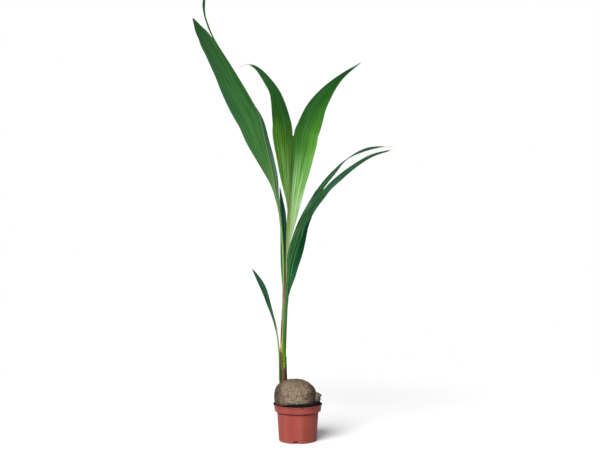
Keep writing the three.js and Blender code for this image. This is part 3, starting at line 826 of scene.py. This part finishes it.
def rib_material(name, left, middle, right, bands=(0.12, 0.42, 0.6, 0.88), fibre="6b5a3a", fibre_share=0.12):
    """A petiole and midrib: colours along it at its left, middle and right, and long fibres."""
    shader = Shader(name, roughness=0.45, specular=0.06)
    u, v = shader.place()
    across = u + (shader.patches(3, 9) - 0.5) * 0.2
    colour = shader.mix(shader.step(across, *bands[:2]), shader.ramp(v, left), shader.ramp(v, middle))
    colour = shader.mix(shader.step(across, *bands[2:]), colour, shader.ramp(v, right))
    fibres = shader.patches(26, 14, detail=4)
    colour = shader.cover(colour, fibres, 0.55, 0.75, fibre_share, fibre)
    shader.bump(fibres, 0.0003, 0.7)
    return shader.finish(colour, shader.step(fibres, 0.3, 0.7, 0.36, 0.5))


def shaded_crotch(shader, u, v, colour):
    """Painted shade in the fold along the midrib of leaf C, below where its halves part."""
    along = shader.ramp(v, {0: 0, 12: 0.3, 24: 0.9, 38: 0.8, 50: 0})
    return shader.mix(along * shader.step(u, 0.03, 0.17, 1, 0), colour, "2c5024")


def painted_flap_shade(shader, u, v, colour):
    """Painted shade on the lowest leaflet of leaf D's right half, which is turned away from the light up to
    its tip.
    """
    edge = shader.ramp(v, {0: 0.3, 30: 0.38, 40: 0.6, 45: 1})
    inside = shader.step(u - edge, 0.0, 0.05) * shader.step(v, 0.46, 0.43)
    flap = shader.ramp(v, {0: "396a45", 14: "265234", 28: "133f22", 100: "0e3c20"})
    return shader.mix(inside, colour, flap)


# Painted shade along a fold, for the halves that have one.
PAINTED_SHADES = {"c_right": shaded_crotch, "d_right": painted_flap_shade}


def make_leaves():
    for index, (letter, leaf) in enumerate(LEAVES.items()):
        name = f"leaf_{letter}"
        make_rib(f"{name}_rib", leaf, rib_material(f"rib_{letter}", **RIB_LOOKS[letter]))
        back = LOOKS.get(f"{letter}_back") or LOOKS[letter]
        for side, way, half in (("left", -1, leaf.left), ("right", 1, leaf.right)):
            place = f"{letter}_{side}"
            front = LOOKS.get(place) or LOOKS[letter]
            seed = index * LEAF_SEED + (LEFT_SEED if side == "left" else 0)
            crease = PAINTED_SHADES.get(place)
            materials = [blade_material(f"blade_{place}", leaf.pleats, seed, crease, **front),
                         blade_material(f"blade_{place}_back", leaf.pleats, seed + 1, None, **back)]
            make_half_blade(f"{name}_{side}", leaf, half, way, materials, f"blade_{letter}")


# Stem and sheaths


def stem_point(height, degrees, outwards=0.0):
    """A point of the stem's skin, or so many millimetres outside it."""
    stations = np.array(STEM_STATIONS)
    x, y, width, depth = (np.interp(height, stations[:, 0], stations[:, k]) for k in (1, 2, 3, 4))
    turn = math.radians(degrees)
    across, back = (width + outwards) * math.cos(turn), (depth + outwards) * math.sin(turn)
    return Vector((x + across, y + back, height)) * MM


def make_stem(material):
    """The bundle of leaf bases: a tube with soft lobes where one base lies on the next."""
    low, high = STEM_STATIONS[0][0] - STEM_BELOW, STEM_STATIONS[-1][0]
    along = np.linspace(0, 1, int((high - low) / STEM_ROW) + 1)
    turns = turns_of(STEM_SIDES)
    points = []
    for height in low + (high - low) * along:
        for turn in turns:
            lobe = 0.5 * math.cos(5 * turn + 0.9 * math.sin(height / 90))
            lobe += 0.25 * math.sin(11 * turn + height / 60)
            points.append(stem_point(height, math.degrees(turn), lobe - 0.4))
    rings = np.reshape(points, (len(along), STEM_SIDES, 3))
    ends = [(stem_point(height, 0) + stem_point(height, 180)) * 0.5 for height in (low, high)]
    return new_tube("stem_core", rings, ends, 0.5 + 0.5 * np.cos(turns), along, material, ["stem"])


def make_wrap(name, rows, material, nodes, slot, lift=1.2, thick=0.7, ragged=3.0, seed=1):
    """A leaf base wrapped round the stem. Its edges are ragged, its surface is ribbed along, and its margins
    lift and sink a little."""
    chance = random.Random(seed)
    table = np.array(rows)
    low, high = table[0][0], table[-1][0]
    count = max(int((high - low) / WRAP_ROW), 4)
    outside, inside, uvs = [], [], []
    jags = [0.0, 0.0]
    for row in range(count + 1):
        f = row / count
        height = low + (high - low) * f
        jags = [WRAP_JAG_KEPT * jag + chance.uniform(-ragged, ragged) for jag in jags]
        fade = min(1, WRAP_JAG_GROWTH * f, WRAP_JAG_GROWTH * (1 - f) + 0.2)
        start, end = (np.interp(height, table[:, 0], table[:, k + 1]) + jags[k] * fade for k in (0, 1))
        for g in np.linspace(0, 1, WRAP_COLUMNS + 1):
            degrees = start + (end - start) * g
            ribs = 0.22 * math.sin(degrees * 0.42 + 0.7 * math.sin(height / 37))
            wave = 0.35 * noise.noise(Vector((degrees / 30, height / 25, seed)))
            loose = 0.4 * (abs(2 * g - 1) ** 3) * noise.noise(Vector((height / 14, g, seed + 4)))
            out = lift + ribs + wave + loose
            outside.append(stem_point(height, degrees, out))
            inside.append(stem_point(height, degrees, out - thick))
            uvs.append((g, f))
    return new_sheet(name, outside, inside, count + 1, uvs, [material], nodes, slot)


def stem_material():
    """Leaf bases in three bands round the stem, whose colours change with height."""
    left = {0: "5d4733", 28: "6f5a3c", 40: "7f6a44", 55: "7a6a48", 62: "7f9458", 75: "88a868",
            88: "86ab62", 100: "7fae5c"}
    middle = {0: "5d4733", 28: "75603c", 40: "9a9448", 55: "938c58", 66: "8f8a68", 78: "8a7c60",
              90: "8c7c5c", 100: "a08c66"}
    right = {0: "424630", 28: "4a4a30", 40: "5f7a3c", 60: "6a8050", 80: "9a8f80", 100: "c4ba8c"}
    return rib_material("stem", left, middle, right, fibre="7a5a44", fibre_share=0.35)


def sheath_material(name, low, middle, high, edge):
    """Dry papery leaf base: brown with long fibres, paler and frayed at its edges."""
    shader = Shader(name, roughness=0.75, specular=0.25)
    u, v = shader.place()
    colour = shader.ramp(v, {0: low, 45: middle, 100: high})
    fibres = shader.patches(22, 3, detail=4)
    colour = shader.cover(colour, fibres, 0.52, 0.68, 0.5, "b39a78")
    colour = shader.cover(colour, shader.patches(3, 6, 4), 0.5, 0.66, 0.55, "33291f")
    colour = shader.cover(colour, abs(u - 0.5), 0.4, 0.5, 0.8, edge)
    shader.bump(fibres, 0.0005, 0.9)
    return shader.finish(colour, shader.step(fibres, 0.3, 0.7, 0.65, 0.85))


def make_ring_scar(leaf, material):
    """The dark ring that a shed sheath left round a petiole."""
    line, lengths = rib_line(leaf)
    at = np.array([SCAR_AT * MM - line[0][2]])
    place = at_lengths(line, lengths, at)[0]
    _, facing, sideways = axes_at(line, lengths, at)
    radius = leaf.radii[0] + 0.5
    verts = []
    for turn in turns_of(SCAR_SIDES):
        way = sideways[0] * math.cos(turn) + facing[0] * math.sin(turn)
        wobble = 0.5 * math.sin(3 * turn + 1)
        for rise, out in SCAR_PROFILE:
            verts.append(place + (way * (radius + out) + np.array((0, 0, rise + wobble))) * MM)
    faces = skin(SCAR_SIDES, len(SCAR_PROFILE), closed=True)
    return new_piece("petiole_scar", verts, faces, [material], [], [(0.5, 0.5)] * len(verts))


def make_strand(material):
    """A thin dry strand beside the stem, tapering to both its ends."""
    line = smooth(np.array(STRAND) * MM, np.linspace(0, 1, 10 * len(STRAND)))
    lengths = lengths_along(line)
    _, facing, sideways = axes_at(line, lengths, lengths, 3 * MM)
    t = lengths / lengths[-1]
    size = STRAND_RADIUS * MM * (0.25 + 0.75 * np.sin(math.pi * np.clip(t, 0.02, 0.98)) ** 0.5)
    rings = rings_round(line, facing, sideways, size[:, None], turns_of(STRAND_SIDES))
    across = [0.5] * STRAND_SIDES
    return new_tube("stem_strand", rings, line[[0, -1]], across, t, material, [])


def make_sprout():
    brown = sheath_material("base_sheath", "604636", "7f5c42", "8c6a44", "7c5238")
    tan = sheath_material("tip_sheath", "8c8860", "948264", "6a4c3a", "a08c74")
    yellow = sheath_material("yellow_sheath", "c2bc3c", "b5b04a", "a09a50", "a89a4c")
    # Dark brown sheath colours: painted shade on the base sheath's right side, and the ring scar's own dark
    # colour.
    dark = sheath_material("sheath_shade_and_scar", "2f2a1e", "3a3424", "4c4430", "6c4636")
    make_stem(stem_material())
    make_wrap("sheath_base_wrap", SHEATH_BASE, brown, ["sheath_base"], "sheath", lift=1.7, seed=3)
    # A dark sheet round the base sheath's right side: painted shade.
    make_wrap("sheath_base_shade", SHEATH_SHADE, dark, [], "sheath", lift=2.0, thick=0.5, ragged=1.5, seed=5)
    make_wrap("sheath_yellow_wrap", SHEATH_YELLOW, yellow, [], "stem", lift=0.9, ragged=1.5, seed=8)
    make_wrap("sheath_tip_wrap", SHEATH_TIP, tan, ["sheath_tip"], "sheath", lift=1.6, seed=11)
    make_ring_scar(LEAVES["d"], dark)
    make_strand(brown)


# Pot


def fillet(profile, steps=5):
    """An outline of (radius, height, rounding) with an arc at each corner that is rounded."""
    points = []
    for i, (x, y, size) in enumerate(profile):
        here = Vector((x, y))
        if not size:
            points.append(here)
            continue
        start = here + (Vector(profile[i - 1][:2]) - here).normalized() * size
        end = here + (Vector(profile[i + 1][:2]) - here).normalized() * size
        for f in np.linspace(0, 1, steps + 1):
            points.append(start * (1 - f) ** 2 + here * 2 * f * (1 - f) + end * f * f)
    return points


def turned(name, profile, sides):
    """A closed turned body: its outline starts and ends on the axis."""
    low, *ring, high = [point * MM for point in fillet(profile)]
    verts = [(p.x * math.cos(turn), p.x * math.sin(turn), p.y) for p in ring for turn in turns_of(sides)]
    verts += [(0, 0, low.y), (0, 0, high.y)]
    return new_mesh(name, verts, tube_faces(len(ring), sides))


def prism(name, outline, near, far, spin):
    """A prism seen from outside the pot as an outline of (across, up), pushed in through its wall."""
    count = len(outline)
    verts = [spin @ (Vector((x, -depth, z)) * MM) for depth in (near, far) for x, z in outline]
    return new_mesh(name, verts, [range(count), range(count, 2 * count), *skin(2, count)])


def joined(target, tool, operation):
    """A mesh cut by another or joined to it."""
    objects = [placed(mesh.name, mesh) for mesh in (target, tool)]
    cut = objects[0].modifiers.new("cut", "BOOLEAN")
    cut.operation = operation
    cut.object = objects[1]
    cut.solver = "EXACT"
    scene = bpy.context.evaluated_depsgraph_get()
    result = bpy.data.meshes.new_from_object(objects[0].evaluated_get(scene))
    for item in objects:
        bpy.data.objects.remove(item)
    return result


def notch_outline(grow):
    low, high, top = POT.notch_low / 2 + grow, POT.notch_high / 2 + grow, POT.notch_height + grow
    corner = POT.notch_corner
    right = [(low, -1), (high + 1, top - corner), (high - 0.8, top - 0.6), (high - corner, top)]
    return right + [(-x, z) for x, z in right[::-1]]


def pot_outline():
    """Radius, height and rounding, up the pot's outside and down its inside."""
    foot, shoulder, groove, lip, wall = (
        POT.foot_radius, POT.shoulder_radius, POT.groove_height, POT.lip_radius, POT.wall)
    (low_radius, low_height), (high_radius, high_height) = POT.band_low, POT.band_high
    return [
        (0, 0, 0), (foot - 5, 0, 0), (foot, 0, 1), (foot + 1.8, 3, 1.6), (shoulder, groove - 2, 0.5),
        (shoulder - 1, groove - 1.1, 0.3), (shoulder - 1, groove + 0.7, 0.3),
        (shoulder + 1.5, groove + 1.3, 0.6), (low_radius, low_height, 2.2), *BAND_STEP,
        (high_radius, high_height, 0.5), (lip, POT.height - 2.4, 0.5), (lip, POT.height, 0.9),
        (lip - 3.4, POT.height, 0.8), (high_radius - wall, high_height, 0.5),
        (low_radius - wall, low_height + 0.8, 1.5), (shoulder - wall, POT.shoulder_height + 0.8, 1),
        (foot - wall, POT.floor, 1.5), (0, POT.floor, 0),
    ]


def make_pot():
    """The moulded pot, with a recess for each drain notch in its foot and a hole in its roof."""
    foot, depth, wall = POT.foot_radius, POT.notch_depth, POT.wall
    shell = turned("pot_shell", pot_outline(), POT.segments)
    spins = [Matrix.Rotation(math.radians(POT.notch_turn) + turn, 4, "Z") for turn in turns_of(POT.notches)]
    for spin in spins:
        recess = prism("recess", notch_outline(wall), foot - depth - wall, foot - 1.2, spin)
        shell = joined(shell, recess, "UNION")
    radius, top = POT.hole_radius, POT.hole_top
    drain = [(0, -radius, 0), (radius, -radius, 0), (radius, top, 0), (0, top, 0)]
    for spin in spins:
        notch = prism("notch", notch_outline(0), foot - depth, foot + 12, spin)
        shell = joined(shell, notch, "DIFFERENCE")
        hole = turned("drain", drain, POT.hole_sides)
        hole.transform(spin @ Matrix.Translation((0, (depth / 2 - foot) * MM, 0)))
        shell = joined(shell, hole, "DIFFERENCE")
    shell.materials.clear()
    shell.polygons.foreach_set("material_index", [0] * len(shell.polygons))
    add_piece("pot_moulding", shell, [pot_material()], ["pot"], sharp=32)


def pot_material():
    """Moulded terracotta-red plastic: satin, with faint flow streaks that are partly its own tone and partly
    painted bands of shade and highlight, scuffs, paler towards its foot, and painted shade in the groove
    under its band.
    """
    shader = Shader("pot", roughness=0.38, specular=0.2, lit=POT_LIT)
    place = shader.position()
    height = shader.part(place, "Z")
    # Faint vertical streaks of tone, which also stand in as painted soft bands of shade and highlight on the
    # body.
    flow_and_shade = shader.noise(shader.scaled(place, (26, 26, 2)), 1.0, 2.0)
    scuff = shader.noise(shader.scaled(place, (60, 60, 160)), 1.0, 5.0, 0.7)
    colour = shader.ramp(flow_and_shade, {36: "a74e45", 62: "b45a51"})
    colour = shader.cover(colour, scuff, 0.62, 0.74, 0.15, "c88a80")
    # Paler towards the foot.
    colour = shader.cover(colour, height, 0.012, 0, 0.3, "b97a68")
    # Painted shade: a dark line in the groove under the band, where the band's overhang shades it.
    off_groove = abs(height - POT.groove_height * MM)
    colour = shader.cover(colour, off_groove, 0.0024, 0.001, 0.85, "6a2622")
    shader.bump(scuff, 0.00006, 0.35)
    return shader.finish(colour, shader.step(scuff, 0.35, 0.7, 0.32, 0.5))


# Soil


def soil_height(x, y):
    """The heaped surface in millimetres, with clods and small hollows."""
    heap = np.interp(math.hypot(x, y), [0, SOIL.heap_radius, SOIL.slope_radius, SOIL.edge_radius],
                     [SOIL.heap_height, SOIL.heap_height, SOIL.slope_height, SOIL.edge_height])
    clod = 1.8 * noise.noise(Vector((x / 13, y / 13, 3))) + 1.1 * noise.noise(Vector((x / 5, y / 5, 8)))
    return heap + clod + 0.5 * noise.noise(Vector((x / 2, y / 2, 1)))


def make_soil():
    """The soil's filling: rings over its heaped surface, then down its wall."""
    rings = [(SOIL.edge_radius * ring / SOIL.rings, None) for ring in range(1, SOIL.rings + 1)] + SOIL.wall
    verts = []
    for radius, height in rings:
        for turn in turns_of(SOIL.sides):
            x, y = radius * math.cos(turn), radius * math.sin(turn)
            verts.append((x, y, soil_height(x, y) if height is None else height))
    verts += [(0, 0, soil_height(0, 0)), (0, 0, SOIL.wall[-1][1])]
    material = soil_material("soil", "0a090a", "181617")
    faces = tube_faces(len(rings), SOIL.sides)
    new_piece("soil_bed", np.array(verts) * MM, faces, [material], ["soil"], sharp=180)


def make_crumbs():
    """Crumbs of peat and bark on the soil, and some on the pot's lip."""
    chance = random.Random(CRUMBS.seed)
    verts, faces = [], []
    corners, sides = icosahedron()
    for _ in range(CRUMBS.count):
        radius = SOIL.lip_reach * math.sqrt(chance.random())
        angle = chance.uniform(0, TURN)
        x, y = radius * math.cos(angle), radius * math.sin(angle)
        size = chance.uniform(*(CRUMBS.common if chance.random() < CRUMBS.common_share else CRUMBS.coarse))
        on_lip = radius > SOIL.edge_radius
        z = POT.height + size * 0.3 if on_lip else soil_height(x, y) + size * 0.25
        if on_lip and chance.random() < CRUMBS.off_lip:
            continue
        if husk_depth(x, y, z) < 0:
            continue
        spin = Matrix.Rotation(chance.uniform(0, 6), 3, Vector((chance.random(), chance.random(), 1)))
        stretch = Vector((chance.uniform(0.7, 1.7), chance.uniform(0.7, 1.2), chance.uniform(0.5, 0.9)))
        start = len(verts)
        for corner in corners:
            bit = spin @ (corner * chance.uniform(0.8, 1.15) * stretch) * size
            verts.append((bit + Vector((x, y, z))) * MM)
        faces += [tuple(start + i for i in side) for side in sides]
    material = soil_material("soil_crumbs", "0e0d0d", "261f1b")
    new_piece("soil_crumbs", verts, faces, [material], [], sharp=25)


def icosahedron():
    """Its corners and its faces."""
    ball = bmesh.new()
    bmesh.ops.create_icosphere(ball, subdivisions=1, radius=1)
    corners = [v.co.copy() for v in ball.verts]
    faces = [[v.index for v in f.verts] for f in ball.faces]
    ball.free()
    return corners, faces


def soil_material(name, dark, light):
    """Damp black peat: near black, with browner fibrous crumbs."""
    shader = Shader(name, roughness=0.9, specular=0.2)
    place = shader.position()
    coarse = shader.noise(place, 160.0, 4.0, 0.65)
    fine = shader.noise(place, 900.0, 3.0, 0.7)
    colour = shader.ramp(coarse, {35: dark, 70: light})
    colour = shader.cover(colour, fine, 0.66, 0.78, 0.4, "453629")
    shader.bump(coarse + fine * 0.5, 0.0012, 0.9)
    return shader.finish(colour)


# Nut and calyx


def husk_way(theta, phi):
    """A direction by its angle from the husk's left end, and its angle round the husk."""
    return Vector((-math.cos(theta), math.sin(theta) * math.cos(phi), math.sin(theta) * math.sin(phi)))


def husk_edge(way, part):
    """The husk's edge in a direction, before its wrinkles, as a share of its half sizes."""
    around = math.hypot(way.y, way.z)
    power = part.bluntness[0 if way.x < 0 else 1]
    reach = (abs(way.x) ** power + around ** power) ** (-1 / power)
    swell = 1 + part.ridge * math.cos(part.ridges * (math.atan2(way.z, way.y) - math.pi / 2)) * around
    return Vector((way.x, way.y * swell, way.z * swell)) * reach


def husk_depth(x, y, z):
    """Over zero outside the nut, and below zero inside it."""
    place = Vector([(at - centre) / half for at, centre, half in zip((x, y, z), NUT.centre, NUT.half)])
    if place.length < 0.01:
        return -1
    return place.length - husk_edge(place.normalized(), NUT).length


def husk_point(way, part, wrinkle):
    """A point of the husk's skin in millimetres and how deep its wrinkles lie there."""
    base = Vector(part.centre) + husk_edge(way, part) * Vector(part.half)
    relief = wrinkle(way, base)
    return base + way * relief, relief


def nut_wrinkle(way, base):
    """Lumps, long fibrous creases that run to the ends and are deeper there, and the dents."""
    lump = 1.6 * noise.noise(way * 1.7 + Vector((3, 1, 7)))
    turn = math.atan2(way.z, way.y) + 0.35 * noise.noise(base * 0.02)
    across = Vector((math.cos(turn) * 2.6, math.sin(turn) * 2.6, base.x * 0.012))
    crease = abs(noise.noise(across * 1.6 + Vector((0, 0, 5))))
    fine = abs(noise.noise(Vector((across.x * 5.5, across.y * 5.5, base.x * 0.045))))
    hair = noise.noise(Vector((across.x * 16, across.y * 16, base.x * 0.09)))
    ends = 0.6 + 0.7 * float(ease(20, 62, abs(base.x - NUT.centre[0])))
    relief = lump - ends * (2.2 * math.exp(-crease * 9) + 1.2 * math.exp(-fine * 8)) + 0.22 * hair + 0.8
    for x, z, half_height, width, depth in NUT_DENTS:
        if way.y < 0:
            near = math.exp(-(((base.x - x - 0.15 * (base.z - z)) / width) ** 2))
            relief -= depth * near * float(1 - ease(0.6, 1.2, abs(base.z - z) / half_height))
    return relief


def calyx_wrinkle(way, base):
    coarse = 2.4 * noise.noise(way * 3.1 + Vector((9, 2, 4)))
    crack = abs(noise.noise(way * 6 + Vector((1, 5, 2))))
    return coarse - 2.4 * math.exp(-crack * 8) + 0.8 * noise.noise(base * 0.35)


def make_husk(name, part, wrinkle, material, node):
    """A husk: a skin drawn out along X, from its left end to its right."""
    turns = turns_of(part.columns)
    ways = [husk_way(math.pi * row / part.rows, turn) for row in range(1, part.rows) for turn in turns]
    ways += [Vector((-1, 0, 0)), Vector((1, 0, 0))]
    points, reliefs = zip(*(husk_point(way, part, wrinkle) for way in ways))
    verts = [point * MM for point in points]
    faces = tube_faces(part.rows - 1, part.columns)
    husk = new_piece(name, verts, faces, [material], [node], sharp=180)
    layer = husk.data.attributes.new("relief", "FLOAT", "POINT")
    layer.data.foreach_set("value", reliefs)


def husk_material(name, tones, crease, low, high, depth=0.55, fibre="a99a84", marks_and_shade=None):
    """Weathered husk: mottled grey-brown, with painted shade down in its creases, and dry fibres along it.
    """
    shader = Shader(name, roughness=0.85, specular=0.1)
    place = shader.position()
    along = shader.noise(shader.scaled(place, (14, 70, 70)), 1.0, 5.0, 0.65)
    mottle = shader.noise(place, 62.0, 4.0, 0.6, 0.6)
    tint = shader.noise(place, 34.0, 3.0, 0.6)
    fibres = shader.noise(shader.scaled(place, (40, 300, 300)), 1.0, 4.0, 0.7)
    dull, plain, pale, warm = tones
    colour = shader.ramp(along * 0.5 + mottle * 0.5, {38: dull, 50: plain, 60: pale})
    colour = shader.cover(colour, tint, 0.47, 0.6, 0.6, warm)
    colour = shader.cover(colour, fibres, 0.55, 0.68, 0.3, fibre)
    if marks_and_shade:
        colour = marks_and_shade(shader, place, colour)
    relief = shader.add("Attribute", "Fac", attribute_name="relief")
    # Painted shade down in the creases, by how deep the relief lies.
    colour = shader.cover(colour, relief, high, low, depth, crease)
    shader.bump(fibres + (along + mottle), 0.0014, 0.9)
    return shader.finish(colour)


def nut_fibres_and_shade(shader, place, colour):
    """Painted shade makes the nut darker at its ends and top, and it is pale where its fibres run round its
    middle.
    """
    off_middle = abs(shader.part(place, "X") - NUT.centre[0] * MM)
    round_it = shader.noise(shader.scaled(place, (150, 60, 22)), 1.0, 3.0, 0.6)
    pale = shader.step(off_middle, 0.048, 0.03) * shader.step(round_it, 0.48, 0.64, 0, 0.5)
    colour = shader.mix(pale, colour, "a89a78")
    # Painted shade over the top.
    colour = shader.cover(colour, shader.part(place, "Z"), 0.2, 0.236, 0.6, "66564b")
    # Painted shade towards both ends, where the husk curves away.
    return shader.cover(colour, off_middle, 0.036, 0.072, 0.75, "4a4136")


def fibre_line(chance, index):
    """A loose fibre that lies along the nut, with ends that lift a little."""
    theta = math.acos(chance.uniform(-0.97, 0.97))
    phi = chance.uniform(0, TURN)
    span = chance.uniform(*NUT_FIBRES.spans)
    drift = chance.uniform(-0.12, 0.12)
    lift_start, lift_end = (chance.uniform(0.1, 2.2) ** 2 * 0.5 for _ in range(2))
    line = []
    for f in np.linspace(0, 1, NUT_FIBRES.steps):
        at = min(max(theta + span * (f - 0.5), NUT_FIBRES.end), math.pi - NUT_FIBRES.end)
        way = husk_way(at, phi + drift * (f - 0.5) + 0.03 * math.sin(9 * f + index))
        point, _ = husk_point(way, NUT, nut_wrinkle)
        raised = 0.25 + lift_start * max(0, 1 - 4 * f) ** 2 + lift_end * max(0, 4 * f - 3) ** 2
        line.append(point + way * raised)
    return line


def make_fibres(material):
    """Loose fibres along the husk, as thin strands, save those that would lie in the soil."""
    chance = random.Random(NUT_FIBRES.seed)
    steps, sides = NUT_FIBRES.steps, NUT_FIBRES.sides
    verts, faces = [], []
    for index in range(NUT_FIBRES.count):
        line = fibre_line(chance, index)
        size = chance.uniform(*NUT_FIBRES.radii)
        if min(p.z for p in line) < SOIL.edge_height + NUT_FIBRES.over_soil:
            continue
        reach = max(math.hypot(p.x, p.y) for p in line) - SOIL.edge_radius
        if reach > NUT_FIBRES.past_edge and line[0].z < POT.height + NUT_FIBRES.over_lip:
            continue
        start = len(verts)
        for step, point in enumerate(line):
            ahead = line[min(step + 1, steps - 1)] - line[max(step - 1, 0)]
            one = ahead.cross(Vector((0.3, 0.2, 1))).normalized()
            two = ahead.cross(one).normalized()
            slim = size * (1 - 0.7 * abs(2 * step / (steps - 1) - 1) ** 2)
            for turn in turns_of(sides):
                verts.append((point + (one * math.cos(turn) + two * math.sin(turn)) * slim) * MM)
        verts += [line[0] * MM, line[-1] * MM]
        faces += [tuple(start + i for i in face) for face in tube_faces(steps, sides)]
    new_piece("nut_fibres", verts, faces, [material], [])


def make_scale(name, material, turn, end, tip, spread, curl, seed):
    """One dry calyx scale: a cupped flap that rises from the husk's end and closes on its point."""
    rows, cols = CALYX_SCALE_GRID
    start, root = CALYX_SCALE_START
    _, y, z = CALYX.centre
    outside, inside, uvs = [], [], []
    for f in np.linspace(0, 1, rows):
        for g in np.linspace(-1, 1, cols):
            ruffle = 1.2 * noise.noise(Vector((f * 4, g * 3, seed)))
            ruffle += 0.7 * f * noise.noise(Vector((g * 7, f * 9, seed + 3)))
            ragged = 1 + 0.12 * noise.noise(Vector((g * 4, seed, 2))) * f
            radius = tip + (root - tip) * math.sqrt(max(1 - f ** 1.7, 0)) + curl * f ** 5 + ruffle
            angle = math.radians(turn + g * spread * math.sqrt(max(1 - 0.96 * f ** 4, 0)))
            x = start + (end - start) * f * ragged * (1 - 0.12 * g * g * f)
            way = Vector((0, -math.cos(angle), math.sin(angle)))
            outside.append((Vector((x, y, z)) + way * radius) * MM)
            inside.append((Vector((x - 0.2, y, z)) + way * (radius - CALYX_SCALE_THICKNESS)) * MM)
            uvs.append((0.5 + 0.5 * g, f))
    return new_sheet(name, outside, inside, rows, uvs, [material], [], "calyx")


def make_nut():
    # The colour after each husk's tones is the painted shade down in its creases.
    husk = husk_material("husk", ("6d6053", "948370", "ac9b82", "8a6c60"), "4a3d33", -2.6, 0.3,
                         marks_and_shade=nut_fibres_and_shade)
    strand = husk_material("husk_fibre", ("6a5c4a", "94846c", "ab9c82", "857462"), "3a3028", -9, -8)
    dark = husk_material("calyx", ("5c5147", "766a5e", "908273", "685c52"), "2c241e", -2.6, 0.8, depth=0.7)
    make_husk("nut_husk", NUT, nut_wrinkle, husk, "nut")
    make_fibres(strand)
    make_husk("calyx_core", CALYX, calyx_wrinkle, dark, "calyx")
    scale = sheath_material("calyx_scale", "544a40", "7e7264", "524940", "a3968a")
    for index, sizes in enumerate(CALYX_SCALES):
        make_scale(f"calyx_scale_{index + 1}", scale, *sizes, index * CALYX_SCALE_SEED)


# Camera, light and floor


def make_camera():
    data = bpy.data.cameras.new("camera")
    data.lens = CAMERA_LENS
    data.sensor_width = SENSOR
    camera = placed("camera", data)
    camera.location = CAMERA_PLACE
    camera.rotation_euler = (math.radians(90), 0, 0)
    bpy.context.scene.camera = camera


def make_light():
    world = bpy.data.worlds.new("room")
    world.use_nodes = True
    nodes, links = world.node_tree.nodes, world.node_tree.links
    room = nodes["Background"]
    room.inputs["Color"].default_value = grey(1)
    rays = nodes.new("ShaderNodeLightPath")
    strength = nodes.new("ShaderNodeMapRange")
    strength.inputs["To Min"].default_value = ROOM_STRENGTH
    links.new(rays.outputs["Is Camera Ray"], strength.inputs["Value"])
    links.new(strength.outputs["Result"], room.inputs["Strength"])
    bpy.context.scene.world = world
    lamp = bpy.data.lights.new("key", "SUN")
    lamp.energy = KEY_STRENGTH * math.pi
    lamp.angle = math.radians(KEY_SOFTNESS)
    key = placed("key", lamp)
    key.rotation_euler = (math.radians(90 - KEY_HEIGHT), 0, math.radians(KEY_TURN))
    bpy.context.scene.view_settings.view_transform = "Standard"


def make_floor():
    """A wide disc, as bright under the lamp as the room is seen, so that its edge doesn't show."""
    shade = FLOOR_SHOWN / (ROOM_STRENGTH + KEY_STRENGTH * math.sin(math.radians(KEY_HEIGHT)))
    shader = Shader("floor", roughness=0.9, specular=0.0)
    grain = shader.noise(shader.position(), 3.0, 2.0)
    colour = shader.ramp(grain, {0: shade * 0.995, 100: shade * 1.005})
    colour = shader.mix(shader.add("LightPath", "Is Camera Ray"), grey(FLOOR_BOUNCE), colour)
    turns = turns_of(FLOOR_SIDES)
    mesh = bpy.data.meshes.new("floor")
    mesh.from_pydata([(FLOOR_RADIUS * math.cos(turn), FLOOR_RADIUS * math.sin(turn), 0) for turn in turns],
                     [], [tuple(range(FLOOR_SIDES))])
    mesh.materials.append(shader.finish(colour))
    floor = placed("floor", mesh)


make_pot()
make_soil()
make_crumbs()
make_nut()
make_sprout()
make_leaves()
make_camera()
make_light()
make_floor()
